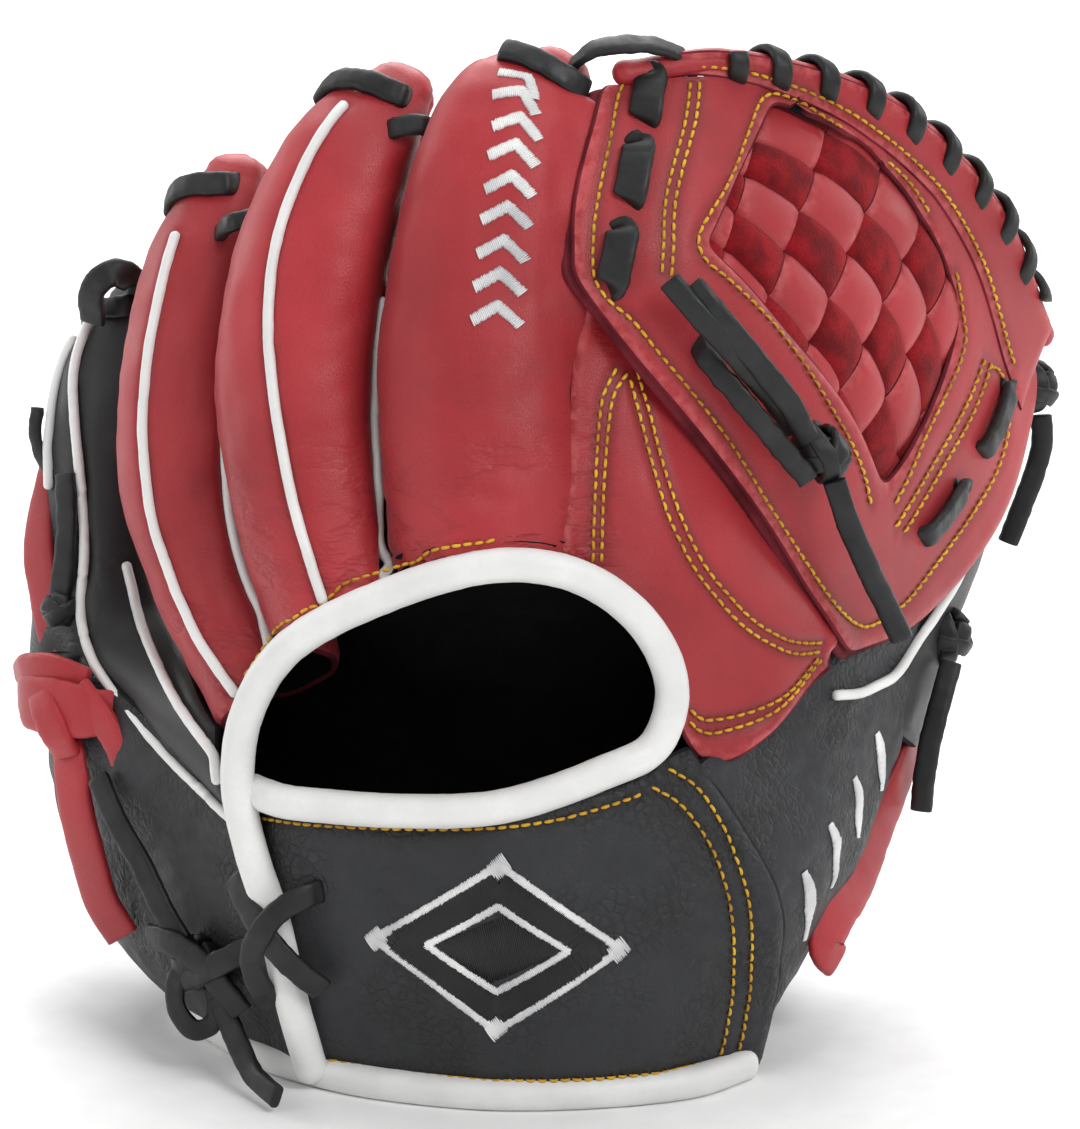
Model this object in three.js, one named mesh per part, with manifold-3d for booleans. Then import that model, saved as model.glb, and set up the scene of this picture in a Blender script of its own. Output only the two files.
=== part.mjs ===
// A fielder's glove for the left hand, standing on its heel with the back of the hand
// towards -Y, the fingers up (+Z) and the pocket opening towards +Y.
// Millimetres. Origin: the centre of the glove's footprint box, on the surface it stands on.
import * as THREE from "three";
import { mergeVertices } from "three/addons/utils/BufferGeometryUtils.js";
import Module from "manifold-3d";

const wasm = await Module();
wasm.setup();

// ---------------------------------------------------------------- driving dimensions
const SHELL = 2.6; // outer leather with its felt backing
const LEATHER = 2.0; // single leather, as in the web and the strap
const LINING = 1.2; // soft inner leather
const LAYER_GAP = 1.3; // between the shell and the lining
const CLEAR = 0.35; // kept between neighbouring pieces
const SQUARE = 2.5; // how square a finger stall's section is: 2 is an ellipse
const PIPING_R = 1.2; // white welt between the back panels
const BINDING_R = 3.9; // rolled edge of the wrist opening
const LACE_WIDTH = 5.4; // rawhide lace, flat
const LACE_THICK = 2.6;
const LACE_LIFT = LACE_THICK / 2 + CLEAR; // a lace's middle above the leather it lies on
const THONG_WIDTH = 10.5; // the wide red ties of the finger loops
const THONG_THICK = 2.8;
const STRIP_THICK = 1.4; // a strip of the basket web
const WEAVE_RISE = 1.15; // how far a strip climbs over its neighbour

const CENTRE_X = 0.37; // middle of the footprint box, in the coordinates the shapes are drawn in
const CENTRE_Y = 14.13;

const group = new THREE.Group();
const V = (p) => new THREE.Vector3(...p);
const DEG = THREE.MathUtils.degToRad;
const mix = THREE.MathUtils.lerp;

// ---------------------------------------------------------------- materials
const material = (color, roughness = 0.6) =>
  new THREE.MeshStandardMaterial({ color, roughness, metalness: 0 });
const redLeather = material(0xb5393f);
const darkLeather = material(0x343638);
const rawhide = material(0x1d1e1f, 0.7);
const whiteLeather = material(0xe9e9e6, 0.5);
const suede = material(0x8f1018, 0.95);
const liningLeather = material(0x121213, 0.85);

// ---------------------------------------------------------------- solids
// A closed sheet between two grids of points, outer[i][j] and inner[i][j].
function sheetGeometry(outer, inner) {
  const rows = outer.length;
  const columns = outer[0].length;
  const points = [...outer.flat(), ...inner.flat()];
  const top = (i, j) => i * columns + j;
  const under = (i, j) => rows * columns + i * columns + j;
  const index = [];
  const quad = (a, b, c, d) => index.push(a, b, c, a, c, d);
  for (let i = 0; i < rows - 1; i++) {
    for (let j = 0; j < columns - 1; j++) {
      quad(top(i, j), top(i, j + 1), top(i + 1, j + 1), top(i + 1, j));
      quad(under(i, j), under(i + 1, j), under(i + 1, j + 1), under(i, j + 1));
    }
  }
  for (let i = 0; i < rows - 1; i++) {
    quad(top(i, 0), top(i + 1, 0), under(i + 1, 0), under(i, 0));
    const j = columns - 1;
    quad(top(i, j), under(i, j), under(i + 1, j), top(i + 1, j));
  }
  for (let j = 0; j < columns - 1; j++) {
    quad(top(0, j), under(0, j), under(0, j + 1), top(0, j + 1));
    const i = rows - 1;
    quad(top(i, j), top(i, j + 1), under(i, j + 1), under(i, j));
  }
  return geometryOf(points, index);
}

// A closed bar through rings of points, with a fan at each end.
function ringGeometry(rings) {
  const n = rings[0].length;
  const points = rings.flat();
  const index = [];
  for (let i = 0; i < rings.length - 1; i++) {
    for (let k = 0; k < n; k++) {
      const a = i * n + k;
      const b = i * n + ((k + 1) % n);
      index.push(a, b, b + n, a, b + n, a + n);
    }
  }
  const last = (rings.length - 1) * n;
  for (let k = 1; k < n - 1; k++) {
    index.push(0, k + 1, k, last, last + k, last + k + 1);
  }
  return geometryOf(points, index);
}

function geometryOf(points, index) {
  const flat = new Float32Array(points.flatMap((p) => [p.x, p.y, p.z]));
  const made = new THREE.BufferGeometry();
  made.setAttribute("position", new THREE.BufferAttribute(flat, 3));
  made.setIndex(index);
  return made;
}

// A manifold-3d solid of a closed geometry, turned right side out.
function solidOf(source) {
  const bare = source.clone();
  bare.deleteAttribute("normal");
  bare.deleteAttribute("uv");
  const merged = mergeVertices(bare, 1e-4);
  const triVerts = new Uint32Array(merged.index.array);
  const make = () => {
    const vertProperties = merged.attributes.position.array;
    return new wasm.Manifold(new wasm.Mesh({ numProp: 3, vertProperties, triVerts }));
  };
  const made = make();
  if (made.volume() > 0) return made;
  for (let i = 0; i < triVerts.length; i += 3) {
    [triVerts[i + 1], triVerts[i + 2]] = [triVerts[i + 2], triVerts[i + 1]];
  }
  return make();
}

function geometryFrom(solid) {
  const mesh = solid.getMesh();
  const flat = new Float32Array(mesh.numVert * 3);
  for (let i = 0; i < mesh.numVert; i++) {
    const start = i * mesh.numProp;
    flat.set(mesh.vertProperties.subarray(start, start + 3), i * 3);
  }
  const made = new THREE.BufferGeometry();
  made.setAttribute("position", new THREE.BufferAttribute(flat, 3));
  made.setIndex(new THREE.BufferAttribute(mesh.triVerts, 1));
  made.computeVertexNormals();
  return made;
}

// The solid again, a little fatter along each axis, for cutting a clear gap.
function grown(solid, by = CLEAR) {
  const shifts = [
    [by, 0, 0],
    [-by, 0, 0],
    [0, by, 0],
    [0, -by, 0],
    [0, 0, by],
    [0, 0, -by],
  ];
  return shifts.reduce((sum, shift) => sum.add(solid.translate(shift)), solid);
}

const largest = (solid) =>
  solid.decompose().reduce((a, b) => (a.volume() >= b.volume() ? a : b));

const boxesMeet = (a, b, gap) => {
  const p = a.boundingBox();
  const q = b.boundingBox();
  return [0, 1, 2].every((k) => p.min[k] < q.max[k] + gap && q.min[k] < p.max[k] + gap);
};

// Adds a named piece. It gives way, with a gap, to every piece that was added before it.
// A fat copy of the piece, if given, is what later pieces give way to.
const placed = [];
function add(name, source, look, fat) {
  let solid = source instanceof THREE.BufferGeometry ? solidOf(source) : source;
  for (const other of placed) {
    if (!boxesMeet(solid, other.solid, 1)) continue;
    other.fat = other.fat || grown(other.solid);
    if (solid.intersect(other.fat).volume() > 0) solid = solid.subtract(other.fat);
  }
  solid = largest(solid);
  placed.push({ solid, fat: fat && solidOf(fat) });
  const mesh = new THREE.Mesh(geometryFrom(solid), look);
  mesh.name = name;
  group.add(mesh);
}

// ---------------------------------------------------------------- curves and surfaces
const smooth = (points) => new THREE.CatmullRomCurve3(points.map(V), false, "centripetal");

// A surface through a grid of points, rows first, sampled at (v, u) from 0 to 1.
function surface(grid) {
  const across = grid.map((row) => new THREE.CatmullRomCurve3(row.map(V), false, "catmullrom"));
  return (v, u) => {
    const column = across.map((curve) => curve.getPoint(u));
    return new THREE.CatmullRomCurve3(column, false, "catmullrom").getPoint(v);
  };
}

function normalOf(at, v, u) {
  const step = 0.004;
  const clamp = (x) => Math.min(1, Math.max(0, x));
  const along = at(clamp(v + step), u).sub(at(clamp(v - step), u));
  const sideways = at(v, clamp(u + step)).sub(at(v, clamp(u - step)));
  return sideways.cross(along).normalize();
}

const span = (from, to, count) =>
  Array.from({ length: count + 1 }, (_, i) => from + ((to - from) * i) / count);

// A leather panel: the surface, with its thickness on the side its normal points away from.
function panel(at, thick, { rows = 8, columns = 8, v = [0, 1], u = [0, 1], lift = 0 } = {}) {
  const layer = (depth) =>
    span(v[0], v[1], rows).map((vv) =>
      span(u[0], u[1], columns).map((uu) =>
        at(vv, uu).addScaledVector(normalOf(at, vv, uu), lift - depth),
      ),
    );
  return sheetGeometry(layer(0), layer(thick));
}

// ---------------------------------------------------------------- finger stalls
// Each station: x, y, z of the middle, half width, half depth, and the way its back faces in degrees.
function stall(stations) {
  const middle = new THREE.CatmullRomCurve3(stations.map((s) => V(s)), false, "catmullrom");
  const sizes = new THREE.CatmullRomCurve3(
    stations.map((s) => new THREE.Vector3(s[3], s[4], s[5])),
    false,
    "catmullrom",
  );
  const power = (x) => Math.sign(x) * Math.abs(x) ** (2 / SQUARE);
  return (t, degrees, inset = 0) => {
    const centre = middle.getPoint(t);
    const tangent = middle.getPoint(Math.min(1, t + 0.01)).sub(middle.getPoint(Math.max(0, t - 0.01)));
    const size = sizes.getPoint(t);
    const yaw = THREE.MathUtils.degToRad(size.z);
    const flat = new THREE.Vector3(Math.cos(yaw), Math.sin(yaw), 0);
    const back = flat.clone().cross(tangent).normalize();
    const across = tangent.clone().cross(back).normalize();
    const angle = THREE.MathUtils.degToRad(degrees);
    const a = Math.max(0.6, size.x - inset);
    const b = Math.max(0.6, size.y - inset);
    return centre
      .addScaledVector(across, a * power(Math.cos(angle)))
      .addScaledVector(back, b * power(Math.sin(angle)));
  };
}

const stalls = {
  index: stall([
    [-12, -26, 122, 21.5, 24, 2],
    [-13, -21, 139, 22.5, 23.5, 2],
    [-14, -12, 168, 23, 21.5, 2],
    [-11, -4, 194, 21.5, 19, 2],
    [-7, 3, 213, 19.3, 16.5, 2],
    [-1, 8, 221.5, 15.5, 13, 2],
    [4.5, 12, 227, 8, 6.5, 2],
  ]),
  middle: stall([
    [-45, -17, 106, 16, 24, -10],
    [-51, -10, 128, 18, 21, -12],
    [-55, -2, 154, 19, 20, -13],
    [-53, 5, 179, 18.5, 18.5, -13],
    [-46, 12, 201, 16.5, 16, -12],
    [-38.5, 18, 214, 13, 12, -10],
    [-32, 22, 222, 8, 7, -10],
  ]),
  ring: stall([
    [-59, -12, 80, 12.5, 22.5, -29],
    [-65, -2, 94, 14, 21.5, -32],
    [-73, 8, 110, 15.5, 20, -34],
    [-80, 16, 132, 17.5, 18.5, -36],
    [-80, 21, 154, 17.5, 18, -36],
    [-77, 27, 174, 16.5, 16.5, -36],
    [-73.5, 32, 190, 12.5, 12, -35],
    [-71, 35, 199, 8, 7, -34],
  ]),
  pinky: stall([
    [-100, 38, 81, 21, 23.5, -42],
    [-102, 43, 101, 18.5, 20, -42],
    [-103, 47, 124, 16.5, 16.5, -43],
    [-100, 49, 144, 15, 15, -44],
    [-98, 52, 158, 10.5, 10.5, -45],
    [-97, 54, 165, 7, 6.5, -45],
  ]),
  thumb: stall([
    [58, 24, 34, 22, 19, 62],
    [72, 34, 60, 21, 18, 62],
    [82, 46, 86, 19, 17, 62],
    [94, 60, 110, 17, 16, 62],
    [103, 71, 130, 13.5, 13, 62],
    [109, 79, 143, 8.5, 8.5, 62],
    [111, 83, 149, 3.5, 3.5, 62],
  ]),
};

// Half of a stall's wall, between two section angles and two shares of its length.
function stallWall(at, from, to, { start = 0, rows = 7, columns = 6 } = {}) {
  const layer = (extra, end) =>
    span(start, end, rows).map((t) => span(from, to, columns).map((w) => at(t, w, extra)));
  return sheetGeometry(layer(0, 1), layer(SHELL, 0.97));
}

// A whole stall as one bar, for a lining.
function stallBar(at, inset, start, end) {
  const around = span(0, 360, 12).slice(0, -1);
  return ringGeometry(span(start, end, 6).map((t) => around.map((w) => at(t, w, inset))));
}

// ---------------------------------------------------------------- laces, welts and bindings
// A bar along a curve. Its flat side faces the hints, which are spread along it.
function ribbon(points, width, thick, hints = [[0, -1, 0]], { steps = 12, sides = 4, extra = 0 } = {}) {
  const curve = smooth(points);
  const facing = (t) => {
    const place = t * (hints.length - 1);
    const k = Math.min(hints.length - 1, Math.floor(place));
    const next = Math.min(hints.length - 1, k + 1);
    return V(hints[k]).lerp(V(hints[next]), place - k);
  };
  const reach = sides === 4 ? Math.SQRT2 : 1;
  const rings = span(0, 1, steps).map((t, step) => {
    const tangent = curve.getTangentAt(t);
    const past = step === 0 ? -extra : step === steps ? extra : 0;
    const centre = curve.getPointAt(t).addScaledVector(tangent, past);
    const side = tangent.clone().cross(facing(t)).normalize();
    const face = side.clone().cross(tangent).normalize();
    return Array.from({ length: sides }, (_, k) => {
      const w = (2 * Math.PI * (k + 0.5)) / sides;
      return centre
        .clone()
        .addScaledVector(side, (width / 2 + extra) * reach * Math.cos(w))
        .addScaledVector(face, (thick / 2 + extra) * reach * Math.sin(w));
    });
  });
  return ringGeometry(rings);
}

function addBar(name, points, width, thick, hints, look, options = {}) {
  const bar = (extra) => ribbon(points, width, thick, hints, { ...options, extra });
  add(name, bar(0), look, bar(CLEAR));
}

const addRound = (name, points, radius, look, options) =>
  addBar(name, points, 2 * radius, 2 * radius, [[0.1, -1, 0.2]], look, { sides: 6, ...options });
const addLace = (name, points, hints, options) =>
  addBar(name, points, LACE_WIDTH, LACE_THICK, hints, rawhide, options);

// A knot's closed outer shape: a lumpy ball, squeezed and turned.
function knotBall([x, y, z], [a, b, c], tilt = 0) {
  const ball = new THREE.IcosahedronGeometry(1, 1);
  ball.scale(a, b, c).rotateY(DEG(tilt)).translate(x, y, z);
  return ball;
}

const along = (at, places, lift = LACE_LIFT) =>
  places.map(([t, degrees]) => at(t, degrees, -lift).toArray());

// ---------------------------------------------------------------- the hand's covering
const strapSurface = surface([
  [[-58, -35, 1], [-45, -42, 1], [-10, -53.5, 1], [22, -51, 1], [46, -34.5, 1]],
  [[-64, -32, 24], [-47, -45, 24], [-10, -56.5, 23], [25, -53, 24], [49.5, -39.5, 26]],
  [[-68, -31, 48], [-50, -48, 47], [-10, -57.5, 46], [23, -54, 47], [48, -42, 48]],
  [[-70, -30, 70], [-52, -47.5, 69], [-10, -54.5, 70], [17, -49.5, 75], [31, -41, 80]],
]);
const pinkyHeelSurface = surface([
  [[-80, 22, 3], [-86, 6, 2], [-72, -18, 1], [-55, -39, 1]],
  [[-98, 42, 20], [-108, 22, 21], [-88, -12, 22], [-59, -42, 22]],
  [[-110, 54, 38], [-117, 34, 41], [-98, -4, 43], [-63, -42, 42]],
  [[-116, 60, 58], [-121, 42, 61], [-106, 4, 64], [-70, -36, 62]],
  [[-118, 62, 78], [-121, 44, 81], [-109, 15, 86], [-81, -20, 83]],
]);
const thumbHeelSurface = surface([
  [[49.5, -32, 1], [51, -16, 1], [51, 4, 1], [46, 22, 1]],
  [[53, -38, 28], [66, -11, 28], [72, 16, 28], [65, 43, 27]],
  [[52, -40, 49], [74.5, -4, 50], [83.5, 28, 50], [79, 59, 50]],
  [[45, -40, 67], [77, 2, 68], [91, 38, 68], [86.5, 70, 70]],
  [[39, -33, 82], [76, 4, 86], [97, 46, 86], [92, 76, 84]],
]);
const crotchSurface = surface([
  [[10, -39, 130], [26, -40, 113], [38, -35, 88], [53, -29, 88], [66, -14, 95]],
  [[11, -30, 152], [26, -32, 140], [41, -31, 120], [56, -21, 109], [69, -8, 100]],
  [[12, -19, 176], [24, -18, 166], [38, -16, 150], [54, -9, 126], [70, 2, 105]],
]);
// Columns run from the thumb's side to the little finger's side.
const palmSurface = surface([
  [[46, 23, 1], [36, 45, 1], [5, 58, 1], [-40, 58, 1], [-70, 42, 1], [-80, 24, 3]],
  [[65, 44, 27], [46, 50, 26], [8, 44, 26], [-40, 54, 26], [-82, 60, 24], [-98, 44, 20]],
  [[79, 60, 50], [54, 46, 50], [10, 28, 50], [-38, 42, 50], [-92, 68, 44], [-110, 56, 38]],
  [[87, 71, 70], [58, 42, 74], [12, 18, 75], [-38, 28, 75], [-94, 70, 70], [-117, 64, 64]],
  [[92, 70, 96], [68, 36, 99], [16, 10, 104], [-36, 18, 98], [-80, 52, 80], [-112, 66, 78]],
]);
const webSurface = surface([
  [[10.5, -25, 185], [22, -28, 166], [36, -26, 147], [54, -19, 122], [70, -8, 97]],
  [[12.5, -17, 201], [33, -21, 187], [53, -16, 164], [74, -2, 139], [91, 20, 100]],
  [[17, -5, 217], [40, -6, 209], [67, 6, 191], [92, 27, 163], [112, 50, 119]],
  [[21, 6, 229], [45, 14, 230], [80, 32, 217], [108, 56, 188], [124, 76, 152]],
]);

// ---------------------------------------------------------------- rolled edges and welts
addRound(
  "opening_binding",
  [
    [-53, -42, 5],
    [-57, -44.5, 22],
    [-61, -45, 42],
    [-66, -43, 58],
    [-69, -39, 73],
    [-67, -37, 88],
    [-58, -39, 104],
    [-35, -46, 119],
    [-9, -49, 127],
    [9, -48, 124],
    [24, -43, 111],
    [30, -40, 95],
    [26, -43, 83],
    [14, -48, 78],
    [-9, -54, 72],
    [-32, -54, 71],
    [-50, -50, 71],
    [-59, -46, 70.5],
  ],
  BINDING_R,
  whiteLeather,
  { steps: 34 },
);
const HEEL_EDGE = [
  [47, -35, 3],
  [35, -46, 2.9],
  [14, -52.5, 2.9],
  [-10, -54, 2.9],
  [-30, -49.5, 2.9],
  [-45, -43, 2.9],
  [-62, -30, 2.9],
  [-75, -12, 2.9],
  [-84, 4, 2.9],
  [-79, 24, 2.9],
  [-68, 43, 2.9],
  [-40, 56, 2.9],
  [-10, 58.5, 2.9],
  [12, 57, 2.9],
];
const ground = solidOf(new THREE.BoxGeometry(400, 400, 20).translate(0, 0, -10));
const heelBar = (extra) =>
  ribbon(HEEL_EDGE, 2 * BINDING_R, 2 * BINDING_R, [[0, 0, 1]], { steps: 24, sides: 8, extra });
add("heel_binding", solidOf(heelBar(0)).subtract(ground), whiteLeather, heelBar(CLEAR));

const welts = {
  index_middle_welt: [
    [-37, -24, 172],
    [-37.5, -26, 158],
    [-37.5, -30, 146],
    [-37, -35, 134],
    [-36, -40, 124],
  ],
  middle_crest_welt: [
    [-45, 8, 219],
    [-55, -4, 201],
    [-60, -13, 180],
    [-59.5, -20, 164],
    [-57, -28, 140],
    [-51, -35, 119],
    [-49, -36, 114],
  ],
  ring_middle_welt: [
    [-75, -6, 150],
    [-73, -8, 139],
    [-70, -13, 124],
    [-65, -22, 111],
    [-62, -29, 102],
  ],
  ring_crest_welt: [
    [-83, 20, 192],
    [-90, 9, 167],
    [-91, 3, 147],
    [-89, -2, 128],
    [-84, -8, 111],
    [-74, -24, 95],
    [-71.5, -30, 88],
  ],
  pinky_crest_welt: [
    [-109, 50, 159],
    [-112, 41, 143],
    [-112, 35, 122],
    [-112, 27, 104],
    [-111, 18, 92],
    [-103, 6, 83],
    [-84, -17, 74],
    [-75, -29, 66],
  ],
};
for (const [name, points] of Object.entries(welts)) {
  addRound(name, points, PIPING_R, whiteLeather, { steps: 9, sides: 4 });
}

// ---------------------------------------------------------------- fingertip laces
// Each lies slantwise over a fingertip, from its outer side to its top: share of the stall's
// length and section angle at both ends.
const tips = {
  index: [
    [0.87, 128],
    [0.97, 44],
  ],
  middle: [
    [0.84, 170],
    [0.95, 70],
  ],
  ring: [
    [0.85, 172],
    [0.95, 70],
  ],
  pinky: [
    [0.82, 175],
    [0.94, 60],
  ],
};
for (const [name, [from, to]] of Object.entries(tips)) {
  const at = stalls[name];
  const places = span(0, 1, 6).map((share) => [mix(from[0], to[0], share), mix(from[1], to[1], share)]);
  const hints = places.map(([t, w]) => at(t, w, -4).sub(at(t, w, 4)).normalize().toArray());
  addLace(name + "_tip_lace", along(at, places), hints, { steps: 9 });
}

// ---------------------------------------------------------------- web laces
// A point on the web, a height above its leather.
const onWeb = (v, u, height) =>
  webSurface(v, u).addScaledVector(normalOf(webSurface, v, u), height).toArray();
const OVER = LACE_LIFT;
const UNDER = -LEATHER - LACE_LIFT;
// A running stitch from one web place (v, u) to another, over and under by turns.
const running = (from, to, heights) =>
  heights.map((height, k) => {
    const share = k / (heights.length - 1);
    return onWeb(mix(from[0], to[0], share), mix(from[1], to[1], share), height);
  });
const stitchHeights = (count) =>
  [UNDER, ...Array.from({ length: count }, () => [OVER, OVER, UNDER, UNDER]).flat()].slice(0, -1);
addLace("web_index_lace", running([0.1, 0.085], [1, 0.055], stitchHeights(3)), [[-0.2, -1, 0.3]], {
  steps: 24,
});
addLace("web_thumb_lace", running([0.39, 0.925], [0.8, 0.93], stitchHeights(2)), [[0.5, -0.8, -0.4]], {
  steps: 16,
});

// ---------------------------------------------------------------- the rolled top of the web
const ROLL_R = 2.6;
const FRAME_TOP = 0.94; // where the frame stops short of the roll
const TOP_LOOPS = 9;
const COIL_LIFT = 0.9; // from the roll to the middle of the lace that winds round it
const intoWeb = (u) => webSurface(0.95, u).sub(webSurface(1, u)).normalize();
const rollCentre = (u) => webSurface(1, u);
addRound(
  "web_top_roll",
  span(0.1, 0.97, 10).map((u) => rollCentre(u).toArray()),
  ROLL_R,
  redLeather,
  { steps: 16 },
);
const coilStep = (share, radius) => {
  const u = mix(0.24, 0.93, share);
  const turn = 2 * Math.PI * TOP_LOOPS * share;
  return new THREE.Vector3()
    .addScaledVector(normalOf(webSurface, 0.98, u), radius * Math.cos(turn))
    .addScaledVector(intoWeb(u), radius * Math.sin(turn))
    .add(radius === 1 ? new THREE.Vector3() : rollCentre(u))
    .toArray();
};
const coilShares = span(0, 1, TOP_LOOPS * 8);
addBar(
  "web_top_lace",
  coilShares.map((share) => coilStep(share, ROLL_R + CLEAR + COIL_LIFT + 0.5)),
  3.2,
  1.6,
  coilShares.map((share) => coilStep(share, 1)),
  rawhide,
  { steps: TOP_LOOPS * 7 },
);

// ---------------------------------------------------------------- the basket web
// Face strips run down the web, suede strips across it. STRIP_U and STRIP_V are the middle of
// each face strip's square in row 0, in the web's own shares.
const STRIP_U = [0.38, 0.5, 0.612, 0.703, 0.783];
const STRIP_V = [0.746, 0.735, 0.715, 0.68, 0.64];
const ROW_STEP = -0.105;
const STRIP_SHARE = 0.42; // half a strip's width, as a share of the step across it
const WEAVE_LEVEL = -2.2; // the weave's middle below the frame's face
const FACE_STRIP_END = -LEATHER - CLEAR - STRIP_THICK / 2;
const INNER_LAYER = FACE_STRIP_END - STRIP_THICK / 2 - CLEAR;
const WINDOW = { left: 0.3, right: 0.82, low: [0.46, 0.35], high: [0.93, 0.79] };
const inList = (list, i) => {
  const k = Math.min(list.length - 2, Math.max(0, Math.floor(i)));
  return mix(list[k], list[k + 1], i - k);
};
const square = (i, j) => [inList(STRIP_V, i) + ROW_STEP * j, inList(STRIP_U, i)];
const windowEdge = (u, ends) => mix(ends[0], ends[1], (u - WINDOW.left) / (WINDOW.right - WINDOW.left));
function insideWindow([v, u], margin) {
  if (u < WINDOW.left - margin || u > WINDOW.right + margin) return false;
  return v > windowEdge(u, WINDOW.low) - margin && v < windowEdge(u, WINDOW.high) + margin;
}

// One strip of the weave: flat over each square, stepping down or up between them.
// A face strip keeps its i and runs along j, a suede strip keeps its j.
function strip(line, face) {
  const cell = (s, offset) => (face ? square(line + offset, s) : square(s, line + offset));
  const tucked = face ? FACE_STRIP_END : INNER_LAYER - STRIP_THICK / 2;
  const heightOver = (n) => {
    if (!insideWindow(cell(n, 0), -0.02)) return tucked;
    const raised = (n + line) % 2 === 0 ? !face : face;
    return WEAVE_LEVEL + (raised ? WEAVE_RISE : -WEAVE_RISE);
  };
  const squares = span(-4, 8, 12).filter((n) => insideWindow(cell(n, 0), 0.07));
  const rows = squares.flatMap((n) => [
    [n - STRIP_SHARE, heightOver(n)],
    [n + STRIP_SHARE, heightOver(n)],
  ]);
  const layer = (depth) =>
    rows.map(([s, height]) =>
      [-STRIP_SHARE, STRIP_SHARE].map((offset) => V(onWeb(...cell(s, offset), height + depth))),
    );
  return sheetGeometry(layer(STRIP_THICK / 2), layer(-STRIP_THICK / 2));
}

// The window's solid, for cutting it out of a layer of the web.
function windowCutter(shrink) {
  const layer = (height) =>
    span(0, 1, 2).map((share) =>
      span(WINDOW.left + shrink, WINDOW.right - shrink, 4).map((u) => {
        const low = windowEdge(u, WINDOW.low) + shrink;
        const high = windowEdge(u, WINDOW.high) - shrink;
        return V(onWeb(mix(low, high, share), u, height));
      }),
    );
  return solidOf(sheetGeometry(layer(4), layer(-9)));
}
const webLayer = (thick, lift, margin) =>
  solidOf(
    panel(webSurface, thick, {
      rows: 5,
      columns: 8,
      v: [margin, FRAME_TOP - margin],
      u: [margin, 1 - margin],
      lift,
    }),
  );
add("web_frame", webLayer(LEATHER, 0, 0).subtract(windowCutter(0)), redLeather);
const innerStrips = span(-1, 2, 3).map((j) => solidOf(strip(j, false)));
add(
  "web_inner_layer",
  innerStrips.reduce(
    (sum, one) => sum.add(one),
    webLayer(STRIP_THICK, INNER_LAYER, 0.06).subtract(windowCutter(0.005)),
  ),
  suede,
);
for (const i of STRIP_U.keys()) {
  add("web_face_strip_" + (i + 1), strip(i, true), redLeather);
}

// ---------------------------------------------------------------- knots, ties and lace tails
const knots = {
  web_knot: [[64, -20, 146], [7.5, 6, 6], 30],
  heel_knot: [[-79, -27.5, 25], [7, 5.5, 6.5], 20],
  thumb_tip_knot: [[122, 78, 139], [6, 5.5, 6.5], 0],
  thumb_low_knot: [[99, 42, 85], [6, 5.5, 7], 10],
};
for (const [name, [middle, radii, tilt]] of Object.entries(knots)) {
  const wider = radii.map((radius) => radius + CLEAR);
  add(name, knotBall(middle, radii, tilt), rawhide, knotBall(middle, wider, tilt));
}
// Each tail leaves its knot, with a gap, and hangs or lies free to its cut end.
const tails = {
  web_tail_long: [[58, -23, 152], [52, -27, 161], [44, -31, 171], [36, -32, 180], [29, -31, 188]],
  web_tail_short: [[67, -24, 140], [70, -23, 131], [75, -19, 119], [80, -14, 108], [84, -10, 99]],
  heel_tail_up: [[-83.5, -28, 31], [-88, -25, 38], [-93, -20, 47], [-99, -13, 55], [-104, -4, 63]],
  heel_tail_down: [[-75, -33, 19], [-72, -37, 14], [-69, -42, 9], [-66, -48, 5.5], [-60, -58, 3.8]],
  thumb_tip_tail: [[124, 77, 131.5], [124.5, 77, 125], [123, 78, 117], [120.5, 79, 109], [117, 80, 98.5]],
  thumb_low_tail: [[99.5, 35, 80], [97, 31, 72], [94.5, 28, 63], [93, 27, 54], [92.5, 28, 45]],
};
for (const [name, points] of Object.entries(tails)) {
  addLace(name, points, [[-0.2, -1, 0.1]], { steps: 8 });
}
addLace(
  "strap_cross_lace",
  [
    [-70, -39, 50],
    [-67, -45.5, 46],
    [-63, -51.5, 41],
    [-57, -52.5, 34],
    [-50, -50, 27],
  ],
  [[-0.3, -1, 0]],
  { steps: 8 },
);
addBar(
  "pinky_loop_tie",
  [
    [-122, 43, 126],
    [-123, 37, 110],
    [-121, 30, 96],
    [-117, 20, 80],
    [-112, 6, 62],
    [-107, 0, 44],
    [-101, -2, 24],
  ],
  THONG_WIDTH,
  THONG_THICK,
  [[-1, -0.9, 0]],
  redLeather,
  { steps: 12 },
);
addBar(
  "thumb_loop_tie",
  [
    [93, 48, 74],
    [92, 42, 62],
    [88.5, 33, 46],
    [82, 25, 33],
    [75, 18, 21],
  ],
  THONG_WIDTH,
  THONG_THICK,
  [[1, -0.4, -0.3]],
  redLeather,
  { steps: 8 },
);

// ---------------------------------------------------------------- the leather panels
const PALM_SEAM = 0.365; // shares of the palm's width, either side of the fold
const THUMB_SEAM = 0.29;
add("wrist_strap", panel(strapSurface, LEATHER + 1, { rows: 5, columns: 10 }), darkLeather);
add("pinky_heel_panel", panel(pinkyHeelSurface, SHELL, { rows: 6, columns: 7 }), darkLeather);
add("thumb_heel_panel", panel(thumbHeelSurface, SHELL, { rows: 6, columns: 7 }), darkLeather);
add(
  "palm_leather",
  panel(palmSurface, SHELL, { rows: 6, columns: 7, u: [PALM_SEAM, 0.985] }),
  darkLeather,
);
add(
  "thumb_palm_leather",
  panel(palmSurface, SHELL, { rows: 6, columns: 4, u: [0.015, THUMB_SEAM] }),
  darkLeather,
);

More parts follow.
